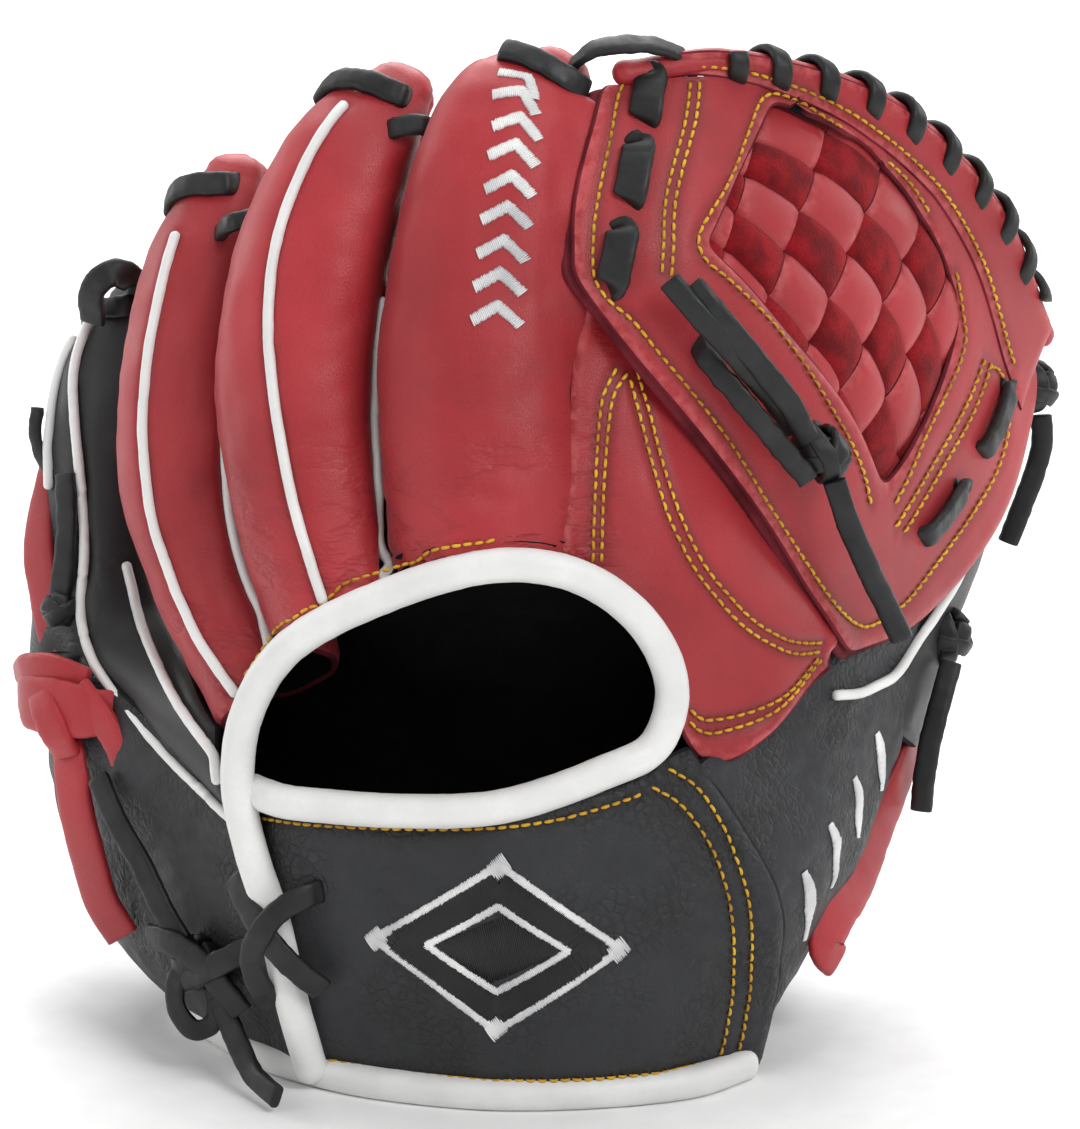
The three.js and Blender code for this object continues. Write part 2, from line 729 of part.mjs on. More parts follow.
const backStart = { index: 0.02, middle: 0.02, ring: 0.02, pinky: 0.02, thumb: 0.36 };
for (const [name, at] of Object.entries(stalls)) {
  const look = name === "pinky" || name === "thumb" ? darkLeather : redLeather;
  add(name + "_back", stallWall(at, 3, 177, { start: backStart[name] }), look);
}
const frontStart = { index: 0.02, middle: 0.02, ring: 0.1, pinky: 0.02, thumb: 0.3 };
for (const [name, at] of Object.entries(stalls)) {
  add(name + "_front", stallWall(at, 183, 357, { start: frontStart[name] }), redLeather);
}
add("thumb_crotch_panel", panel(crotchSurface, LEATHER, { rows: 6, columns: 8 }), redLeather);

// ---------------------------------------------------------------- linings
for (const [name, at] of Object.entries(stalls)) {
  const start = backStart[name] + 0.04;
  const outside = solidOf(stallBar(at, SHELL + LAYER_GAP, start, 0.94));
  const inside = solidOf(stallBar(at, SHELL + LAYER_GAP + LINING, start - 0.03, 0.91));
  add(name + "_lining", outside.subtract(inside), liningLeather);
}
add(
  "hand_lining",
  panel(palmSurface, LINING, {
    rows: 6,
    columns: 7,
    u: [PALM_SEAM + 0.02, 0.95],
    v: [0.06, 0.95],
    lift: -SHELL - LAYER_GAP,
  }),
  liningLeather,
);

// ---------------------------------------------------------------- the shared frame
for (const mesh of group.children) {
  mesh.geometry.translate(-CENTRE_X, -CENTRE_Y, 0);
}

export default group;
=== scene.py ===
# A left-hand baseball glove standing on its heel, back of the hand towards -Y.
# Shapes are drawn in millimetres, in the coordinates the CAD part is drawn in, and metres()
# takes them to the frame.
import math

import bpy
import numpy as np
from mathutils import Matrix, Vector
from mathutils.bvhtree import BVHTree


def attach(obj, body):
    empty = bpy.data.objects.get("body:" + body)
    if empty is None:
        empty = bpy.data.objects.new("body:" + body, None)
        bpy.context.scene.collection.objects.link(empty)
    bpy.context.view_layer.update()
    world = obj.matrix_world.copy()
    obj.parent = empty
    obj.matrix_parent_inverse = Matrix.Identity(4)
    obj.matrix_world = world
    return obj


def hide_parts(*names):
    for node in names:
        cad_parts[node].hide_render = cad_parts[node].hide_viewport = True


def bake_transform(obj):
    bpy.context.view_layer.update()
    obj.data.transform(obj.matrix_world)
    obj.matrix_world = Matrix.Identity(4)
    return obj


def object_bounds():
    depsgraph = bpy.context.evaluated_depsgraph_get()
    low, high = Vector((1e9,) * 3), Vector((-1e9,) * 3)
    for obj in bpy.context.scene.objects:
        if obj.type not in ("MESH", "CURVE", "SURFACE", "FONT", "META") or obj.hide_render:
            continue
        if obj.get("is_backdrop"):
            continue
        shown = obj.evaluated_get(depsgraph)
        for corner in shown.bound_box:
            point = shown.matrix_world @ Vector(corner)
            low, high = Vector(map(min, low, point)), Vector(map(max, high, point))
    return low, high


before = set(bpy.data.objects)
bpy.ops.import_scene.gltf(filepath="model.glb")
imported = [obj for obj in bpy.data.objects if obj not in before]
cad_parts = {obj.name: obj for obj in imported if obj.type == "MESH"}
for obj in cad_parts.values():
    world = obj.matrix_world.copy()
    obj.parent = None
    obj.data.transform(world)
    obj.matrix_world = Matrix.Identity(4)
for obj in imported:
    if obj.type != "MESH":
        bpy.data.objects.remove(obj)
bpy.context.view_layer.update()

SHELL = 2.6  # outer leather with its felt backing
LEATHER = 2.0
LINING = 1.2
LAYER_GAP = 1.3
FLOOR_GAP = 0.05  # nothing comes nearer the floor than this
STITCH_LENGTH, STITCH_PITCH, STITCH_RADIUS, STITCH_LIFT = 2.0, 2.6, 0.4, 0.3
EDGE_ROLL = 0.35  # how far a panel's face rolls down at its edge, as a share of its thickness
LACE_WIDTH = 5.4
LACE_THICK = 2.6
BINDING_R = 3.9
ROLL_R = 2.6
DRAWING_SHIFT = np.array([0.37, 14.13, 0.0])


def metres(points):
    """Drawing millimetres to metres in the frame."""
    return (np.asarray(points, float) - DRAWING_SHIFT) * 0.001


def unit(vectors):
    length = np.linalg.norm(vectors, axis=-1, keepdims=True)
    return vectors / np.maximum(length, 1e-9)


# ---------------------------------------------------------------- camera, light and floor
camera = bpy.data.cameras.new("camera")
camera.lens = 159.56
camera.sensor_width = 36.0
camera.clip_start, camera.clip_end = 0.05, 50.0
camera_object = bpy.data.objects.new("camera", camera)
camera_object.location = (-0.00037, -1.14324, 0.41658)
camera_object.rotation_euler = (math.radians(75.0), 0.0, 0.0)
bpy.context.scene.collection.objects.link(camera_object)
bpy.context.scene.camera = camera_object
bpy.context.scene.view_settings.view_transform = "Standard"


def area_light(name, location, target, size, power):
    """A square lamp aimed at the target."""
    data = bpy.data.lights.new(name, "AREA")
    data.size = size
    data.energy = power
    lamp = bpy.data.objects.new(name, data)
    lamp.location = location
    aim = Vector(target) - Vector(location)
    lamp.rotation_euler = aim.to_track_quat("-Z", "Y").to_euler()
    bpy.context.scene.collection.objects.link(lamp)


area_light("key", (0.85, -1.05, 1.25), (0, 0, 0.12), 0.8, 15)
area_light("fill", (-1.15, -0.9, 0.8), (0, 0, 0.12), 0.9, 4.8)
area_light("top", (0.0, 0.3, 1.35), (0, 0, 0.15), 0.8, 7)
area_light("left_rim", (-1.1, 0.6, 0.5), (0, 0, 0.12), 0.6, 4.5)
area_light("right_rim", (1.1, 0.7, 0.6), (0, 0, 0.12), 0.6, 4.5)
area_light("floor_wash", (0.0, 3.4, 2.6), (0, 3.6, 0.0), 3.5, 260)
world = bpy.data.worlds.new("studio")
world.use_nodes = True
world.node_tree.nodes["Background"].inputs["Color"].default_value = (1, 1, 1, 1)
world.node_tree.nodes["Background"].inputs["Strength"].default_value = 0.34
bpy.context.scene.world = world


# ---------------------------------------------------------------- materials
def linear(r, g, b):
    """A screen colour, 0 to 255, as linear light."""
    def one(c):
        c /= 255
        return c / 12.92 if c <= 0.04045 else ((c + 0.055) / 1.055) ** 2.4

    return (one(r), one(g), one(b), 1.0)


class Look:
    """A principled material and the few node kinds that every look here is made of."""

    def __init__(self, name, specular=0.5, **constants):
        self.material = bpy.data.materials.new(name)
        self.material.use_nodes = True
        self.tree = self.material.node_tree
        self.shader = self.tree.nodes["Principled BSDF"]
        self.shader.inputs["Specular IOR Level"].default_value = specular
        for socket, value in constants.items():
            self.shader.inputs[socket.replace("_", " ")].default_value = value
        self.place = self.tree.nodes.new("ShaderNodeTexCoord").outputs["Object"]

    def link(self, source, target):
        self.tree.links.new(source, target)

    def noise(self, scale, detail=3.0, stretch=None, roughness=0.5):
        made = self.tree.nodes.new("ShaderNodeTexNoise")
        made.inputs["Scale"].default_value = scale
        made.inputs["Detail"].default_value = detail
        made.inputs["Roughness"].default_value = roughness
        place = self.place
        if stretch:
            mapping = self.tree.nodes.new("ShaderNodeMapping")
            mapping.inputs["Scale"].default_value = stretch
            self.link(place, mapping.inputs["Vector"])
            place = mapping.outputs["Vector"]
        self.link(place, made.inputs["Vector"])
        return made.outputs["Fac"]

    def cells(self, scale, warp_by):
        """How far each place is from the edge of its cell, the cells' walls bent by warp_by."""
        made = self.tree.nodes.new("ShaderNodeTexVoronoi")
        made.feature = "DISTANCE_TO_EDGE"
        made.inputs["Scale"].default_value = scale
        made.inputs["Randomness"].default_value = 0.9
        warp = self.tree.nodes.new("ShaderNodeTexNoise")
        warp.inputs["Scale"].default_value = scale * 0.8
        self.link(self.place, warp.inputs["Vector"])
        shift = self.tree.nodes.new("ShaderNodeVectorMath")
        shift.operation = "SCALE"
        shift.inputs["Scale"].default_value = warp_by
        self.link(warp.outputs["Color"], shift.inputs[0])
        add = self.tree.nodes.new("ShaderNodeVectorMath")
        self.link(self.place, add.inputs[0])
        self.link(shift.outputs[0], add.inputs[1])
        self.link(add.outputs[0], made.inputs["Vector"])
        return made.outputs["Distance"]

    def ramp(self, value, low, high, from_value=0.0, to_value=1.0):
        made = self.tree.nodes.new("ShaderNodeMapRange")
        made.inputs["From Min"].default_value = low
        made.inputs["From Max"].default_value = high
        made.inputs["To Min"].default_value = from_value
        made.inputs["To Max"].default_value = to_value
        self.link(value, made.inputs["Value"])
        return made.outputs["Result"]

    def math(self, operation, a, b):
        made = self.tree.nodes.new("ShaderNodeMath")
        made.operation = operation
        for socket, value in zip(made.inputs, (a, b)):
            if isinstance(value, (int, float)):
                socket.default_value = value
            else:
                self.link(value, socket)
        return made.outputs[0]

    def mix(self, share, a, b):
        made = self.tree.nodes.new("ShaderNodeMix")
        made.data_type = "RGBA"
        for key, value in (("Factor_Float", share), ("A_Color", a), ("B_Color", b)):
            socket = next(s for s in made.inputs if s.identifier == key)
            if isinstance(value, (int, float, tuple)):
                socket.default_value = value
            else:
                self.link(value, socket)
        return next(s for s in made.outputs if s.identifier == "Result_Color")

    def mark(self, name):
        made = self.tree.nodes.new("ShaderNodeAttribute")
        made.attribute_name = name
        return made.outputs["Fac"]

    def finish(self, colour, roughness, heights):
        self.link(colour, self.shader.inputs["Base Color"])
        self.link(roughness, self.shader.inputs["Roughness"])
        normal = None
        for height, distance, strength in heights:
            bump = self.tree.nodes.new("ShaderNodeBump")
            bump.inputs["Distance"].default_value = distance
            bump.inputs["Strength"].default_value = strength
            self.link(height, bump.inputs["Height"])
            if normal is not None:
                self.link(normal, bump.inputs["Normal"])
            normal = bump.outputs["Normal"]
        self.link(normal, self.shader.inputs["Normal"])
        return self.material


def smooth_leather(name, dark, mid, light, worn, seam_and_shade):
    """Fine-grained leather: pores, soft creases, paler wear on edges, darker seams, painted shade where the
    seam mark also carries it, and painted shade in the wrinkles.
    """
    look = Look(name, specular=0.42, Coat_Weight=0.08, Coat_Roughness=0.45, Sheen_Weight=0.06)
    broad = look.ramp(look.noise(16, 4), 0.36, 0.66)
    colour = look.mix(broad, dark, light)
    colour = look.mix(look.ramp(look.noise(90, 5, roughness=0.6), 0.35, 0.7, 0.0, 0.6), colour, mid)
    pores = look.cells(1500, 0.0004)
    pore_line = look.ramp(pores, 0.0, 0.09, 1.0, 0.0)
    colour = look.mix(look.math("MULTIPLY", pore_line, 0.22), colour, seam_and_shade)
    # painted shade: the seam mark also carries the painted shade of the finger backs' sides, and the colour
    # darkens by it
    colour = look.mix(look.math("MULTIPLY", look.mark("seam_and_shade"), 0.55), colour, seam_and_shade)
    wear = look.math("MULTIPLY", look.mark("edge"), look.ramp(look.noise(400, 4), 0.4, 0.62))
    colour = look.mix(look.math("MULTIPLY", wear, 0.5), colour, worn)
    rough = look.ramp(look.noise(60, 5), 0.3, 0.7, 0.4, 0.56)
    rough = look.math("ADD", rough, look.math("MULTIPLY", wear, 0.15))
    creases = look.noise(240, 6, (1.0, 1.0, 2.2), 0.62)
    folded = look.mark("fold")
    stretched = look.noise(46, 4, (0.75, 1.0, 2.1), 0.6)
    away = look.math("ABSOLUTE", look.math("SUBTRACT", stretched, 0.5), 0.0)
    wrinkle = look.math("MULTIPLY", look.ramp(away, 0.0, 0.06, 1.0, 0.0), folded)
    # painted shade in the wrinkles: the colour darkens along the wrinkle lines that the bump also presses in
    colour = look.mix(look.math("MULTIPLY", wrinkle, 0.12), colour, seam_and_shade)
    return look.finish(
        colour,
        rough,
        [
            (pore_line, 0.00005, 0.55), (creases, 0.00022, 0.35), (look.noise(38, 3), 0.0012, 0.25),
            (look.math("SUBTRACT", 1.0, wrinkle), 0.0007, 0.6),
        ],
    )


def pebbled_leather(name, dark, mid, light):
    """Tumbled black leather: rounded pebbles about 3 mm across with fine wrinkles on them."""
    look = Look(name, specular=0.4, Coat_Weight=0.05, Coat_Roughness=0.5)
    cells = look.cells(410, 0.0016)
    groove = look.ramp(cells, 0.0, 0.22, 0.0, 1.0)
    small = look.ramp(look.cells(1250, 0.0006), 0.0, 0.25, 0.0, 1.0)
    patchy = look.ramp(look.noise(55, 3), 0.42, 0.62)
    groove = look.math("ADD", groove, look.math("MULTIPLY", patchy, look.math("SUBTRACT", 1.0, groove)))
    colour = look.mix(look.ramp(look.noise(30, 4), 0.35, 0.65), mid, light)
    colour = look.mix(look.ramp(groove, 0.0, 0.5, 0.42, 0.0), colour, dark)
    colour = look.mix(look.math("MULTIPLY", look.mark("seam_and_shade"), 0.6), colour, dark)
    rough = look.ramp(look.noise(300, 4), 0.3, 0.7, 0.46, 0.66)
    return look.finish(
        colour, rough, [(groove, 0.00036, 0.8), (small, 0.00010, 0.5), (look.noise(60, 3), 0.001, 0.2)]
    )


def plain_leather(
    name, dark, light, grain=900.0, rough=(0.4, 0.55), stretch=None, specular=0.45, depth=0.00012
):
    """Leather with a fine fibre grain, as on bindings, laces and linings."""
    look = Look(name, specular=specular)
    colour = look.mix(look.ramp(look.noise(70, 5), 0.35, 0.65), dark, light)
    fibre = look.noise(grain, 5, stretch, 0.65)
    colour = look.mix(look.ramp(fibre, 0.3, 0.6, 0.35, 0.0), colour, dark)
    colour = look.mix(look.math("MULTIPLY", look.mark("seam_and_shade"), 0.5), colour, dark)
    roughness = look.ramp(look.noise(220, 4), 0.3, 0.7, *rough)
    return look.finish(colour, roughness, [(fibre, depth, 0.6), (look.noise(130, 4), 0.0005, 0.3)])


def napped(name, dark, light, tint):
    """Suede: short nap brushed in patches."""
    look = Look(name, specular=0.15, Sheen_Weight=0.35, Sheen_Roughness=0.5, Sheen_Tint=tint)
    nap = look.noise(1400, 6, roughness=0.75)
    brushed = look.noise(160, 4)
    colour = look.mix(look.ramp(brushed, 0.35, 0.65), dark, light)
    colour = look.mix(look.ramp(nap, 0.35, 0.62, 0.7, 0.0), colour, dark)
    rough = look.ramp(nap, 0.3, 0.7, 0.86, 1.0)
    return look.finish(colour, rough, [(nap, 0.0005, 0.8), (brushed, 0.0006, 0.4)])


# the last colour darkens pores, seams, the painted shade on the finger backs' sides and the painted shade in
# wrinkles
red = smooth_leather(
    "red_leather",
    linear(142, 22, 30), linear(164, 32, 40), linear(178, 42, 50), linear(206, 104, 104),
    linear(84, 12, 18),
)
black_smooth = smooth_leather(
    "black_smooth_leather",
    linear(22, 22, 24), linear(28, 29, 31), linear(38, 39, 41), linear(78, 78, 80),
    linear(10, 10, 11),
)
black = pebbled_leather(
    "black_pebbled_leather", linear(10, 10, 11), linear(29, 30, 32), linear(40, 41, 44)
)
white = plain_leather("white_leather", linear(218, 218, 216), linear(230, 230, 228), 900, (0.42, 0.58))
rawhide = plain_leather(
    "black_rawhide", linear(10, 11, 11), linear(28, 29, 31), 800, (0.42, 0.62), (1, 1, 0.35)
)
suede = napped("red_suede", linear(92, 6, 14), linear(160, 16, 28), (1, 0.25, 0.25, 1))
raw_edge = plain_leather(
    "red_raw_edge", linear(78, 20, 28), linear(128, 44, 54), 2200, (0.8, 0.95), None, 0.2, 0.0003
)
black_edge = plain_leather(
    "black_raw_edge", linear(10, 10, 11), linear(34, 34, 36), 2200, (0.8, 0.95), None, 0.2, 0.0003
)
lining_look = plain_leather(
    "black_lining", linear(9, 9, 10), linear(22, 22, 24), 1500, (0.75, 0.92), None, 0.2, 0.0002
)
thread = plain_leather(
    "yellow_thread", linear(168, 118, 20), linear(232, 186, 48), 3200, (0.5, 0.7), None, 0.35, 0.0001
)
white_thread = plain_leather(
    "white_thread", linear(196, 196, 198), linear(244, 244, 242), 3200, (0.42, 0.6), None, 0.4, 0.0001
)
black_thread = plain_leather(
    "black_thread", linear(10, 10, 11), linear(30, 30, 32), 3200, (0.3, 0.45), None, 0.5, 0.0001
)
floor_look = plain_leather(
    "pale_floor", linear(238, 238, 238), linear(244, 244, 244), 12, (0.7, 0.8), None, 0.2, 0.0001
)

# ---------------------------------------------------------------- curves and surfaces
def weights(count, share):
    """The Catmull-Rom share of each of count points at each place from 0 to 1."""
    share = np.asarray(share, float).ravel()
    x = share * (count - 1)
    first = np.clip(np.floor(x).astype(int), 0, count - 2)
    w = x - first
    basis = (
        -0.5 * w + w**2 - 0.5 * w**3,
        1 - 2.5 * w**2 + 1.5 * w**3,
        0.5 * w + 2 * w**2 - 1.5 * w**3,
        -0.5 * w**2 + 0.5 * w**3,
    )
    made = np.zeros((len(share), count))
    rows = np.arange(len(share))
    for k, value in enumerate(basis):
        j = first + k - 1
        inside = (j >= 0) & (j < count)
        np.add.at(made, (rows[inside], j[inside]), value[inside])
        for outside, near, far in ((j < 0, 0, 1), (j >= count, count - 1, count - 2)):
            made[rows[outside], near] += 2 * value[outside]
            made[rows[outside], far] -= value[outside]
    return made


class Surface:
    """A surface through a grid of points, rows first, at shares (v, u)."""

    def __init__(self, grid):
        self.grid = np.array(grid, float)

    def at(self, v, u, height=0.0):
        v, u, height = np.broadcast_arrays(np.asarray(v, float), u, height)
        point = self._point(v, u)
        if np.any(height):
            point = point + self.normal(v, u) * height[..., None]
        return point

    def _point(self, v, u):
        rows, columns = self.grid.shape[:2]
        a, b = weights(rows, v), weights(columns, u)
        return np.einsum("nr,nc,rcd->nd", a, b, self.grid).reshape(*v.shape, 3)

    def normal(self, v, u):
        v, u = np.broadcast_arrays(np.asarray(v, float), u)
        step = 0.003
        across = self._point(v, u + step) - self._point(v, u - step)
        along = self._point(v + step, u) - self._point(v - step, u)
        return unit(np.cross(across, along))

    def patch(self, v, u, rows, columns, height=0.0):
        vv = np.linspace(v[0], v[1], rows)[:, None]
        uu = np.linspace(u[0], u[1], columns)[None, :]
        return self.at(vv, uu, height)


class Stall:
    """A finger stall. Each station: middle x, y, z, half width, half depth, yaw of its back."""

    SQUARE = 2.5

    def __init__(self, stations):
        stations = np.array(stations, float)
        self.middle, self.sizes = stations[:, :3], stations[:, 3:]

    def at(self, t, degrees, inset=0.0):
        t, degrees, inset = np.broadcast_arrays(np.asarray(t, float), degrees, inset)
        shape = t.shape
        t, degrees, inset = t.ravel(), np.radians(degrees.ravel()), inset.ravel()
        count = len(self.middle)
        centre = weights(count, t) @ self.middle
        after = weights(count, np.minimum(1, t + 0.01)) @ self.middle
        before = weights(count, np.maximum(0, t - 0.01)) @ self.middle
        tangent = after - before
        size = weights(count, t) @ self.sizes
        yaw = np.radians(size[:, 2])
        flat = np.stack([np.cos(yaw), np.sin(yaw), np.zeros_like(yaw)], 1)
        back = unit(np.cross(flat, tangent))
        across = unit(np.cross(tangent, back))
        a = np.maximum(0.6, size[:, 0] - inset)[:, None]
        b = np.maximum(0.6, size[:, 1] - inset)[:, None]

        def power(x):
            return (np.sign(x) * np.abs(x) ** (2 / self.SQUARE))[:, None]

        made = centre + across * a * power(np.cos(degrees)) + back * b * power(np.sin(degrees))
        return made.reshape(*shape, 3)

    def wall(self, from_degrees, to_degrees, start, rows=70, columns=48, inset=0.0, end=1.0, dome=True):
        """Part of the wall as a grid, closed over the tip by a low dome."""
        degrees = np.linspace(from_degrees, to_degrees, columns)[None, :]
        start = np.broadcast_to(start, (columns,))
        t = start + (end - start) * np.linspace(0, 1, rows)[:, None]
        grid = self.at(t, degrees, inset)
        if not dome:
            return grid
        centre = weights(len(self.middle), [end]) @ self.middle
        last = grid[-1]
        up = unit(centre - weights(len(self.middle), [end - 0.02]) @ self.middle)
        height = np.linalg.norm(last - centre, axis=1).mean() * 0.75
        shares = np.radians([18, 36, 54, 72, 88])
        rows_over = [centre + (last - centre) * math.cos(s) + up * height * math.sin(s) for s in shares]
        return np.concatenate([grid, np.array(rows_over)])


def centripetal(points, count):
    """Evenly spaced points on the centripetal Catmull-Rom curve through the points."""
    p = np.asarray(points, float)
    padded = np.vstack([2 * p[0] - p[1], p, 2 * p[-1] - p[-2]])
    made = []
    for p0, p1, p2, p3 in zip(padded, padded[1:], padded[2:], padded[3:]):
        d0, d1, d2 = (
            max(1e-4, np.linalg.norm(b - a) ** 0.5) for a, b in ((p0, p1), (p1, p2), (p2, p3))
        )
        t1 = ((p1 - p0) / d0 - (p2 - p0) / (d0 + d1) + (p2 - p1) / d1) * d1
        t2 = ((p2 - p1) / d1 - (p3 - p1) / (d1 + d2) + (p3 - p2) / d2) * d1
        w = np.linspace(0, 1, 24, endpoint=False)[:, None]
        made.append(
            p1 + t1 * w + (-3 * p1 + 3 * p2 - 2 * t1 - t2) * w**2 + (2 * p1 - 2 * p2 + t1 + t2) * w**3
        )
    return even(np.vstack(made + [p[-1:]]), count)


def even(line, count):
    """The line again, as count points at equal steps along it."""
    line = np.asarray(line, float)
    length = np.concatenate([[0], np.cumsum(np.linalg.norm(np.diff(line, axis=0), axis=1))])
    at = np.linspace(0, length[-1], count)
    return np.stack([np.interp(at, length, line[:, k]) for k in range(line.shape[1])], 1)


def waves(points, size, seed, count=10):
    """Smooth noise from -1 to 1 with features about size across."""
    random = np.random.RandomState(seed)
    total = 0
    for _ in range(count):
        direction = unit(random.normal(size=3)) * (2 * math.pi / size) * random.uniform(0.6, 1.5)
        total = total + np.sin(np.asarray(points) @ direction + random.uniform(0, 7))
    return total / count**0.5


def distance_to(points, lines):
    """How far each point is from the nearest of the dense lines."""
    flat = points.reshape(-1, 3)
    dense = np.vstack([even(line, max(8, int(len(line) * 6))) for line in lines])
    best = np.full(len(flat), 1e9)
    for part in np.array_split(dense, max(1, len(dense) // 60)):
        gap = np.linalg.norm(flat[:, None] - part[None], axis=2).min(1)
        best = np.minimum(best, gap)
    return best.reshape(points.shape[:-1])


# ---------------------------------------------------------------- pieces
skins = {}  # the face of each sheet, for laying other pieces on it


def piece(name, points, faces, looks, face_look=None, marks=None):
    """A mesh object from points in drawing millimetres, its faces turned outwards."""
    points = np.array(points, float).reshape(-1, 3)
    points[:, 2] = np.maximum(points[:, 2], FLOOR_GAP)
    if volume_of(points, faces) < 0:
        faces = [f[::-1] for f in faces]
    mesh = bpy.data.meshes.new(name)
    mesh.from_pydata(metres(points).tolist(), [], faces)
    for look in looks:
        mesh.materials.append(look)
    if face_look is not None:
        mesh.polygons.foreach_set("material_index", np.asarray(face_look, np.int32))
    mesh.polygons.foreach_set("use_smooth", np.ones(len(faces), bool))
    for mark, values in (marks or {}).items():
        layer = mesh.attributes.new(mark, "FLOAT", "POINT")
        layer.data.foreach_set("value", np.asarray(values, np.float32).ravel())
    mesh.update()
    made = bpy.data.objects.new(name, mesh)
    bpy.context.scene.collection.objects.link(made)
    return made


def volume_of(points, faces):
    """Six times the volume inside the faces, negative when they face inwards."""
    triangles = np.array([(f[0], f[k], f[k + 1]) for f in faces for k in range(1, len(f) - 1)])
    a, b, c = (points[triangles[:, k]] for k in range(3))
    return float(np.einsum("ij,ij->i", a, np.cross(b, c)).sum())


def settle(made, body, nodes=()):
    """Puts a piece on its body. An "across" piece, lying between the hand and the thumb's side, keeps its
    place with its transform baked in and goes on no body.
    """
    if body == "across":
        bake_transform(made)
    else:
        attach(made, body)
    if nodes:
        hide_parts(*nodes)
    return made


def normals_of(grid, wrap=False):
    if wrap:
        across = np.roll(grid, -1, 1) - np.roll(grid, 1, 1)
    else:
        across = np.gradient(grid, axis=1)
    return unit(np.cross(across, np.gradient(grid, axis=0)))


def rim_distance(grid, wrap):
    """How far each point of a grid is from the grid's edge, along its rows and columns."""
    down = np.linalg.norm(np.diff(grid, axis=0), axis=2)
    down = np.concatenate([np.zeros((1, grid.shape[1])), np.cumsum(down, 0)])
    made = np.minimum(down, down[-1] - down)
    if not wrap:
        side = np.linalg.norm(np.diff(grid, axis=1), axis=2)
        side = np.concatenate([np.zeros((grid.shape[0], 1)), np.cumsum(side, 1)], 1)
        made = np.minimum(made, np.minimum(side, side[:, -1:] - side))
    return made


def sheet(
    name, grid, thick, looks, wrap=False, seams=(), lines=(), groove=0.5, cap=False, shade=None,
    fold=None
):
    """A leather panel: the grid is its face. It has a rounded cut edge and a plain back.
    lines are seams pressed into it; seams are marks that only darken it; shade is painted shade, laid into
    the same mark that darkens it."""
    normal = normals_of(grid, wrap)
    seam_and_shade = np.zeros(grid.shape[:2])
    if len(lines):
        gap = distance_to(grid, lines)
        grid = grid - normal * (groove * np.exp(-((gap / 1.5) ** 2)))[..., None]
        seam_and_shade = np.exp(-((gap / 1.6) ** 2))
        normal = normals_of(grid, wrap)
    if len(seams):
        seam_and_shade = np.maximum(seam_and_shade, np.exp(-((distance_to(grid, seams) / 2.2) ** 2)))
    # the painted shade joins the seam mark, so the material darkens there as it does at a seam
    if shade is not None:
        seam_and_shade = np.maximum(seam_and_shade, shade)
    if fold is None:
        fold = np.zeros(grid.shape[:2])
    edge = np.exp(-((rim_distance(grid, wrap) / 2.0) ** 2))
    # the face rolls down towards its edges
    face = grid - normal * (
        thick * EDGE_ROLL * np.exp(-((rim_distance(grid, wrap) / 1.1) ** 2))
    )[..., None]
    back = grid - normal * thick
    n, m = grid.shape[:2]
    ids = np.arange(n * m).reshape(n, m)
    columns = m if wrap else m - 1
    right = np.roll(ids, -1, 1)
    quads = np.stack(
        [ids[:-1, :columns], right[:-1, :columns], right[1:, :columns], ids[1:, :columns]], -1
    ).reshape(-1, 4)
    faces = quads.tolist() + (quads[:, ::-1] + n * m).tolist()
    kind = [0] * len(quads) + [2] * len(quads)
    points = [face.reshape(-1, 3), back.reshape(-1, 3)]
    out = np.zeros_like(grid)
    out[0] += unit(grid[0] - grid[1])
    out[-1] += unit(grid[-1] - grid[-2])
    if wrap:
        loops = [list(ids[0])] + ([] if cap else [list(ids[-1][::-1])])
    else:
        out[:, 0] += unit(grid[:, 0] - grid[:, 1])
        out[:, -1] += unit(grid[:, -1] - grid[:, -2])
        loops = [
            list(ids[0, :-1]) + list(ids[:-1, -1]) + list(ids[-1, :0:-1]) + list(ids[:0:-1, 0])
        ]
    out = unit(out).reshape(-1, 3)
    size = 2 * n * m
    middle = (face.reshape(-1, 3) + back.reshape(-1, 3)) / 2
    marks = {
        key: [value.ravel(), value.ravel()] for key,
        value in (("edge", edge), ("seam_and_shade", seam_and_shade), ("fold", fold))
    }
    for loop in loops:
        loop = np.array(loop)
        points.append(middle[loop] + out[loop] * thick * 0.3)
        marks["edge"].append(np.ones(len(loop)))
        marks["seam_and_shade"].append(seam_and_shade.ravel()[loop])
        marks["fold"].append(np.zeros(len(loop)))
        rim = size + np.arange(len(loop))
        size += len(loop)
        after, rim_after = np.roll(loop, -1), np.roll(rim, -1)
        faces += np.stack([after, loop, rim, rim_after], 1).tolist()
        faces += np.stack([rim_after, rim, loop + n * m, after + n * m], 1).tolist()
        kind += [1] * (2 * len(loop))
    if cap:
        for layer, flip in ((0, False), (n * m, True)):
            ring = ids[-1] + layer
            source = (face if layer == 0 else back)[-1]
            points.append(source.mean(0)[None])
            for mark in marks.values():
                mark.append(np.zeros(1))
            for a, b in zip(ring, np.roll(ring, -1)):
                faces.append([b, a, size] if flip else [a, b, size])
                kind.append(2 if flip else 0)
            size += 1
    marks = {key: np.concatenate(value) for key, value in marks.items()}
    made = piece(name, np.vstack(points), faces, looks, kind, marks)
    skins[name] = (face.reshape(-1, 3), quads)
    return made


def skin_tree(*names):
    points, faces, start = [], [], 0
    for name in names:
        p, q = skins[name]
        points.append(p)
        faces.append(q + start)
        start += len(p)
    return BVHTree.FromPolygons(np.vstack(points).tolist(), np.vstack(faces).tolist())


def snapped(points, tree, height=0.0):
    """The nearest places on a skin, raised by height, and the skin's normals there."""
    places, normals = [], []
    for p in points:
        hit, normal, _, _ = tree.find_nearest(Vector(p))
        places.append(np.array(hit) + np.array(normal) * height)
        normals.append(np.array(normal))
    return np.array(places), unit(np.array(normals))


